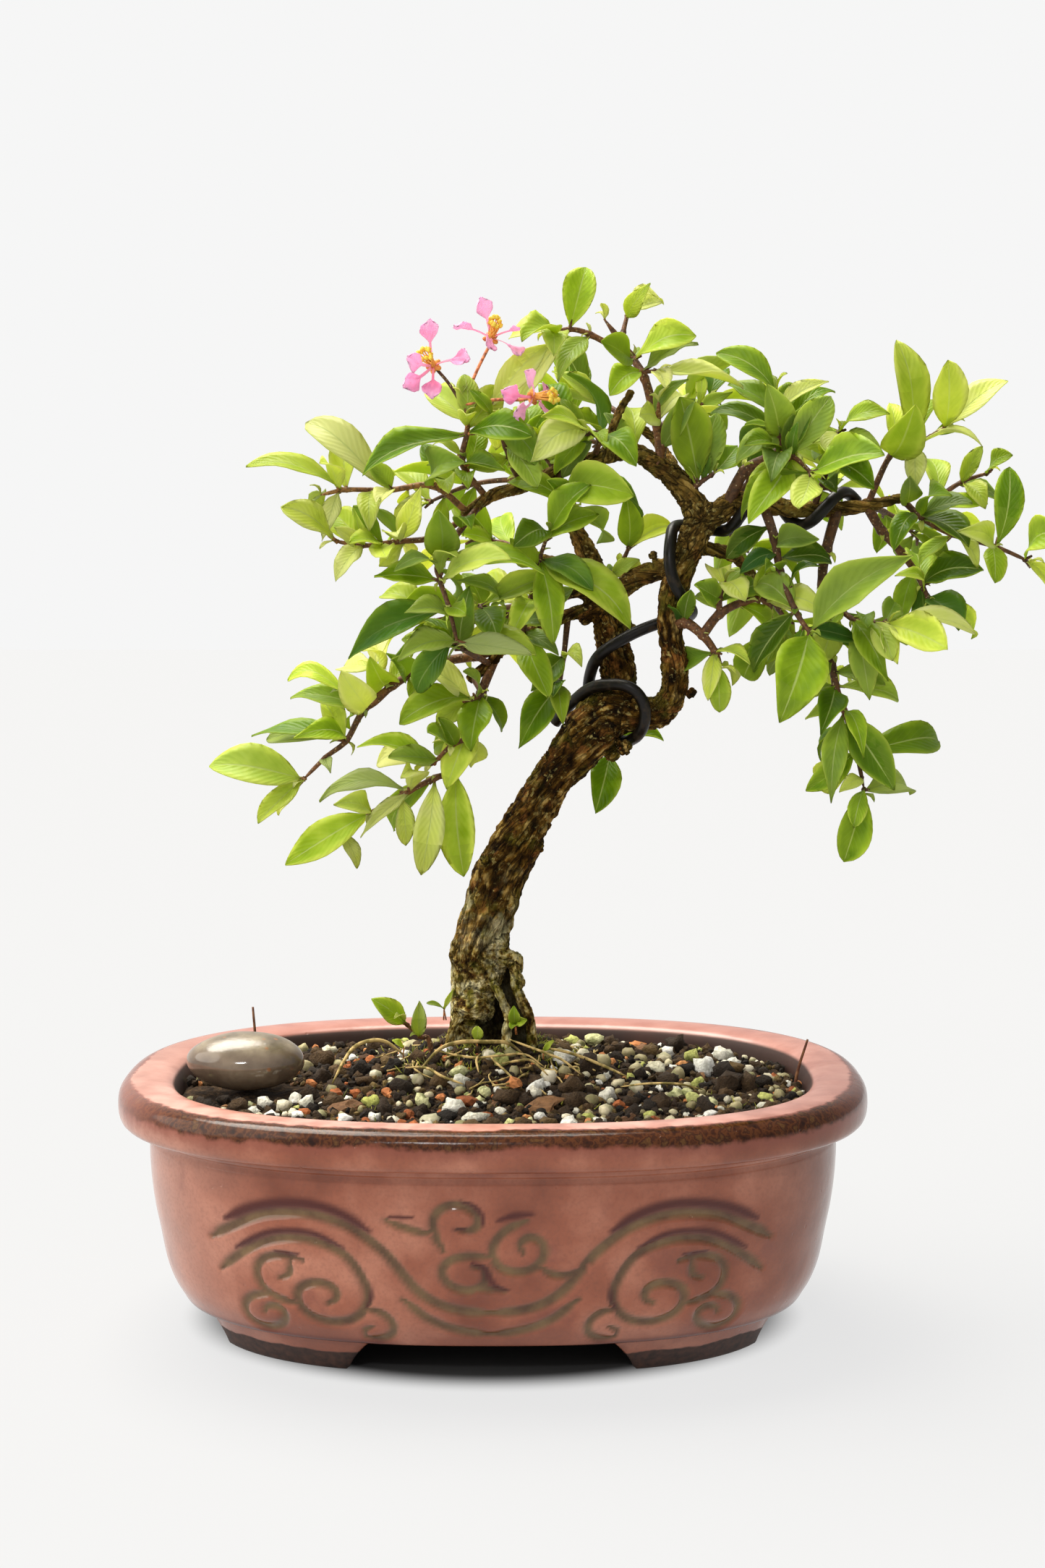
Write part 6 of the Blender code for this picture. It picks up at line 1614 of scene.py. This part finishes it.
def stalk_tube(leaf, steps):
    """A leaf's stalk, which starts inside its twig."""
    way = (leaf.tip - leaf.base).normalized()
    return [(*(leaf.base + way * reach), radius) for reach, radius in steps]


def twig_tube(route, first_radius, last_radius):
    """A twig with a slight swelling at each of its nodes, which ends in a point."""
    route = [Vector(place) for place in route]
    route[-1] = route[-1] + (route[-1] - route[-2]).normalized() * BUD_LENGTH
    line = smooth_route(route, 6)
    tube = []
    for index, place in enumerate(line):
        share = index / (len(line) - 1)
        radius = between(0.94 * first_radius, 0.72 * last_radius, share)
        near = abs((index / 6) - round(index / 6)) * 6
        radius *= 1 + 0.22 * max(0.0, 1 - near) * (0 < index < len(line) - 1)
        tube.append((*place, radius * (1 - 0.7 * ease(0.93, 1.0, share))))
    return tube


def build_shoot(name, youth, twigs, leaves, filling, finishes):
    """One leafy shoot: its twigs, leaves and filling leaves, and small young ones at its nodes."""
    rng = random.Random(name)
    bm = bmesh.new()
    layers = float_layers(bm, *LEAF_LAYERS)
    tubes = [twig_tube(route, *(radii or TWIG_RADII)) for route, _, *radii in twigs]
    for leaf in leaves:
        young = youth + rng.uniform(-0.36, 0.34) + 0.3 * (leaf.late - 0.5) - 0.045 * (leaf.width - 8)
        add_leaf(bm, layers, leaf, young, rng)
        tubes.append(stalk_tube(leaf, LEAF_STALK))
    for leaf in filling_leaves(twigs, leaves, round(filling * len(leaves)), rng):
        young = youth - 0.08 + rng.uniform(-0.34, 0.3) + 0.3 * (leaf.late - 0.5)
        add_leaf(bm, layers, leaf, young, rng, 10, 4)
        tubes.append(stalk_tube(leaf, SMALL_STALK))
    for twig, *mark in YOUNG_LEAVES.get(name, []):
        add_leaf(bm, layers, listed_leaf(twigs[twig][0], mark, *YOUNG_SHAPE), youth + 0.3, rng, 8, 4)
    for route, *_ in twigs:
        places = [Vector(place) for place in route]
        for index in range(1, len(places)):
            way = (places[index] - places[index - 1]).normalized()
            last = index == len(places) - 1
            if not last and rng.random() < BARE_NODES:
                continue
            at = places[index] + way * (BUD_LENGTH * 0.8 if last else 0)
            for leaf in node_leaves(at, way, rng, rng.uniform(*(END_LEAF if last else NODE_LEAF))):
                add_leaf(bm, layers, leaf, min(1.0, youth + 0.35), rng, 6, 4)
    for vert in add_tubes(bm, tubes, 2, 2):
        vert[layers["young"]] = min(0.8, max(0.0, youth - 0.3) + 0.4 * noise.noise(vert.co * 0.1))
    if name == "flower_shoot":
        for vert in add_tubes(bm, pedicel_tubes(), 2, 2):
            vert[layers["young"]] = 1.0
    finish_piece("leafy_" + name, bm, finishes, [name])


def build_shoots(finishes):
    """All the shoots, with their leaves where the CAD has them."""
    draws = random.Random(SEED)
    for name in [*SHOOTS, *BACK_SHOOTS]:
        if name in SHOOTS:
            youth, filling, twigs = SHOOTS[name]
            leaves = [listed_leaf(twig[0], mark, draws.uniform(*LEAF_ARCH), draws.uniform(*LEAF_FOLD))
                      for twig in twigs for mark in twig[1]]
        else:
            youth, filling, twigs = BACK_YOUTH, BACK_FILLING, [(BACK_SHOOTS[name], [])]
            leaves = ruled_leaves(BACK_SHOOTS[name], draws)
        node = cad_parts[name]
        tree = search_points([(node.matrix_world @ vert.co - MIDDLE) / MM for vert in node.data.vertices])
        build_shoot(name, youth, twigs, [as_built(leaf, tree) for leaf in leaves], filling, finishes)


def build_sprouts(finishes):
    """Small green sprouts at the trunk's foot."""
    rng = random.Random(SEED + 4)
    bm = bmesh.new()
    layers = float_layers(bm, *LEAF_LAYERS)
    tubes = []
    for foot, tip, width, turn, young in SPROUTS:
        leaf = Leaf(Vector(foot), Vector(tip), width, swung(UP, FRONT, math.radians(turn)), 0.12, 0.15)
        add_leaf(bm, layers, leaf, young, rng, 10, 6)
        down = leaf.base - UP * 3 + Vector((rng.uniform(-0.5, 0.5), 1, 0))
        tubes.append([(*down, 0.2), (*foot, 0.16)])
    for vert in add_tubes(bm, tubes, 1, 2):
        vert[layers["young"]] = 0.9
    finish_piece("sprouts", bm, finishes)


def pedicel_tubes():
    """The flower stalks, which part at the spur's tip and reach each flower from behind."""
    tubes = []
    for centre, way, _ in BLOSSOMS.values():
        axis = Vector(way).normalized()
        end = Vector(centre) - axis * (CALYX_RADIUS - 0.2)
        behind = end - axis * 2.5
        route = [PEDICEL_START, PEDICEL_START.lerp(behind, 0.55) + UP * 0.6, behind, end]
        tubes.append(tapered(smooth_route(route, 5), lambda share: 0.38 + 0.3 * ease(0.75, 1, share)))
    return tubes


def add_petal(bm, layers, centre, axis, out, roll, pale, rng):
    """One petal: a long narrow claw, then a small crinkled limb with a frayed edge."""
    grid = bmesh.ops.create_grid(bm, x_segments=22, y_segments=12, size=1)["verts"]
    faces = list(dict.fromkeys(face for vert in grid for face in vert.link_faces))
    side = out.cross(axis).normalized()
    side = swung(side, side.cross(out), roll).normalized()
    axis = out.cross(side).normalized() * math.copysign(1, out.cross(side).dot(axis))
    seed = rng.uniform(0, 50)
    length, limb_half = PETAL_LENGTH * rng.uniform(0.97, 1.02), rng.uniform(2.2, 2.6)
    lean, twist = rng.uniform(-0.1, 0.1), rng.uniform(-0.4, 0.4)
    for vert in grid:
        t, v = (vert.co.x + 1) / 2, vert.co.y
        u = max(0.0, (t - 0.46) / 0.54)
        limb = math.sin(math.pi / 2 * min(1.0, u / 0.62)) ** 1.25
        limb *= math.sqrt(max(0.0, 1 - max(0.0, (u - 0.66) / 0.36) ** 2))
        fray = 1 + 0.12 * noise.noise(Vector((t * 9, v * 6, seed))) * ease(0.5, 0.8, t)
        half = max(0.26 + 0.1 * t, limb_half * limb) * fray
        crinkle = 0.7 * noise.noise(Vector((t * 6, v * 3.2, seed))) * ease(0.4, 0.8, t)
        cup = 0.45 * v * v * half * ease(0.4, 0.8, t) + 0.7 * math.sin(math.pi * min(1, t * 1.1))
        reach = length * t * (1 - 0.08 * v * v * ease(0.55, 1, t))
        lift = twist * v * half * ease(0.3, 1, t)
        vert.co = (centre + out * reach + axis * (1.0 * t + cup + crinkle + lift)
                   + side * (half * v + lean * length * t * t))
        vert[layers["along"]] = t
        vert[layers["pale"]] = pale
    bmesh.ops.solidify(bm, geom=faces, thickness=0.16)


def build_blossoms():
    """The pink flowers, each with five clawed petals, its calyx and its yellow stamens."""
    petal = petal_finish()
    sepal = plain_finish("orange_calyx", (236, 156, 70), 0.5, (206, 104, 62), 1.2)
    thread = plain_finish("yellow_filament", (246, 178, 84), 0.5)
    anther = plain_finish("yellow_anther", (246, 226, 84), 0.7, (240, 178, 56), 0.5)
    for name, (centre, way, first) in BLOSSOMS.items():
        rng = random.Random("blossom " + name)
        axis = Vector(way).normalized()
        right = axis.cross(UP).normalized()
        up = right.cross(axis)
        centre, lean = Vector(centre), Vector(ANTHER_LEAN[name])
        bm = bmesh.new()
        layers = float_layers(bm, "along", "pale")
        for turn, seen, roll, pale in PETALS[name]:
            share = min(1.0, abs(seen) / PETAL_LENGTH)
            flat = swung(RIGHT, UP, math.radians(turn))
            near = FRONT * math.copysign(math.sqrt(1 - share * share), seen)
            add_petal(bm, layers, centre, axis, flat * share + near, roll, pale, rng)
        before = len(bm.faces)
        for number in range(5):
            out = swung(right, up, math.radians(first + 36 + 72 * number))
            turn = out.rotation_difference(UP).inverted().to_matrix().to_4x4()
            ball(bm, 2, Matrix.Translation(centre + out * 0.9 - axis * 0.4) @ turn @ SEPAL_SIZES)
        ball(bm, 2, Matrix.Translation(centre - axis * 0.3), CALYX_RADIUS)
        paint_from(bm, before, 1)
        finish_piece("pink_blossom_" + name, bm, [petal, sepal], ["blossom_" + name])
        bm = bmesh.new()
        tubes, tips = [], []
        for number in range(10):
            out = swung(right, up, math.tau * number / 10 + rng.uniform(-0.15, 0.15))
            foot = centre + axis * 0.6 + out * 0.5
            top = centre + axis * rng.uniform(2.2, 3.2) + out * rng.uniform(0.9, 1.7) + lean
            tubes.append([(*foot, 0.3), (*foot.lerp(top, 0.45), 0.2), (*top, 0.12)])
            tips.append(top)
        for number in range(3):
            out = swung(right, up, math.tau * number / 3)
            tubes.append([(*(centre + axis * 0.6), 0.3), (*(centre + axis * 2.9 + out * 0.5), 0.16)])
        add_tubes(bm, tubes, 1)
        before = len(bm.faces)
        for tip in tips:
            ball(bm, 1, Matrix.Translation(tip) @ ANTHER_SIZES)
        paint_from(bm, before, 1)
        finish_piece("yellow_stamens_" + name, bm, [thread, anther], ["stamens_" + name])


def build_stalks():
    dry = plain_finish("dry_brown_stalk", (84, 46, 28), 0.8, (126, 84, 52), 2.0)
    for name, route in STALKS.items():
        bm = bmesh.new()
        add_tubes(bm, [tapered(smooth_route(route, 5), lambda share: 0.5 - 0.25 * share)], 3)
        finish_piece("thin_" + name, bm, [dry], [name])


def cosine(way):
    """How squarely a light that shines this way meets the floor."""
    return -way.normalized().z


def build_floor():
    """A plain pale floor, which isn't part of the object, glowing as painted light except under the pot."""
    bm = bmesh.new()
    bmesh.ops.create_grid(bm, x_segments=1, y_segments=1, size=FLOOR_HALF)
    pale = Finish("pale_floor", 0.9, 0.0)
    pale.colour = (FLOOR_SHADE, FLOOR_SHADE, FLOOR_SHADE, 1)
    suns = (BACK_SUN * cosine(BACK_SUN_WAY) + FRONT_SUN * cosine(FRONT_SUN_WAY)) / math.pi
    glow = BACKDROP_LIGHT - FLOOR_SHADE * (ROOM_LIGHT + suns)
    centre = pale.add("Mapping", {"Vector": pale.place, "Location": -MIDDLE / MM}, vector_type="POINT")
    oval = pale.add("VectorMath", {0: centre, 1: (2 / POT_LENGTH, 2 / POT_DEPTH, 0)}, operation="MULTIPLY")
    away = pale.add("VectorMath", {0: oval}, "Value", operation="LENGTH")
    # The floor glows as painted light, as bright as the backdrop, and the glow fades out under the pot,
    # which leaves a painted shadow there
    pale.feed("Emission Color", (1, 1, 1, 1))
    pale.feed("Emission Strength", pale.times(pale.step(away, 0.68, 0.86), glow))
    mesh = as_mesh("floor", bm)
    mesh.materials.append(pale.done())
    add_object("floor", mesh)


def add_lamp(name, kind, power, way, place=(0, 0, 0), **settings):
    lamp = bpy.data.lights.new(name, kind)
    lamp.energy = power
    for setting, value in settings.items():
        setattr(lamp, setting, value)
    made = add_object(name, lamp)
    made.location = place
    made.rotation_euler = way.to_track_quat("-Z", "Y").to_euler()


def build_light():
    """A white room: bright to the camera, softer as a light, with soft light from high up."""
    world = bpy.data.worlds.new("white_room")
    bpy.context.scene.world = world
    world.use_nodes = True
    room = Nodes(world.node_tree)
    shown = room.tree.nodes["Background"]
    room.join(shown.inputs["Color"], (1, 1, 0.998, 1))
    room.join(shown.inputs["Strength"], BACKDROP_LIGHT)
    way = room.add("SeparateXYZ", {0: room.add("TexCoord", {}, "Generated")}, "X")
    left, right = [ROOM_LIGHT * side for side in ROOM_SIDES]
    strength = room.add("MapRange", {"Value": way, "From Min": -1.0, "To Min": left, "To Max": right})
    lit = room.add("Background", {"Color": (1, 1, 1, 1), "Strength": strength})
    seen = room.add("LightPath", {}, "Is Camera Ray")
    choice = room.add("MixShader", {0: seen, 1: lit, 2: shown.outputs[0]})
    room.join(room.tree.nodes["World Output"].inputs[0], choice)
    add_lamp("high_back_light", "SUN", BACK_SUN, BACK_SUN_WAY, color=SUN_TINT, angle=BACK_SUN_SPREAD)
    add_lamp("high_front_light", "SUN", FRONT_SUN, FRONT_SUN_WAY, color=SUN_TINT, angle=FRONT_SUN_SPREAD)
    add_lamp("front_window", "AREA", WINDOW_POWER, WINDOW_AIM - WINDOW_PLACE, WINDOW_PLACE,
             shape="RECTANGLE", size=WINDOW_SIZE[0], size_y=WINDOW_SIZE[1])


def build_camera():
    """The photo's camera: level, a little above the pot and tilted down."""
    lens = bpy.data.cameras.new("photo_camera")
    lens.sensor_fit = "VERTICAL"
    lens.sensor_height = SENSOR_HEIGHT
    lens.lens = PHOTO_FOCUS / PHOTO_HEIGHT * SENSOR_HEIGHT
    camera = add_object("photo_camera", lens)
    camera.location = MIDDLE + CAMERA_PLACE * MM
    camera.rotation_euler = (math.radians(90 - CAMERA_TILT), 0, 0)
    bpy.context.scene.camera = camera


build_pot()
build_soil_bed()
build_grains()
build_moss()
build_straws()
build_stone()
build_trunk()
build_wire()
leaf_finishes = [leaf_finish("leaf_face", 0.38, 0.18, False), leaf_finish("leaf_underside", 0.7, 0.06, True),
                 twig_finish()]
build_shoots(leaf_finishes)
build_sprouts(leaf_finishes)
build_blossoms()
build_stalks()
for screen in ("drain_screen_left", "drain_screen_right"):
    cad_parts[screen].material_slots[0].material = mesh_finish()
build_floor()
build_light()
build_camera()
bpy.context.scene.view_settings.view_transform = "Standard"
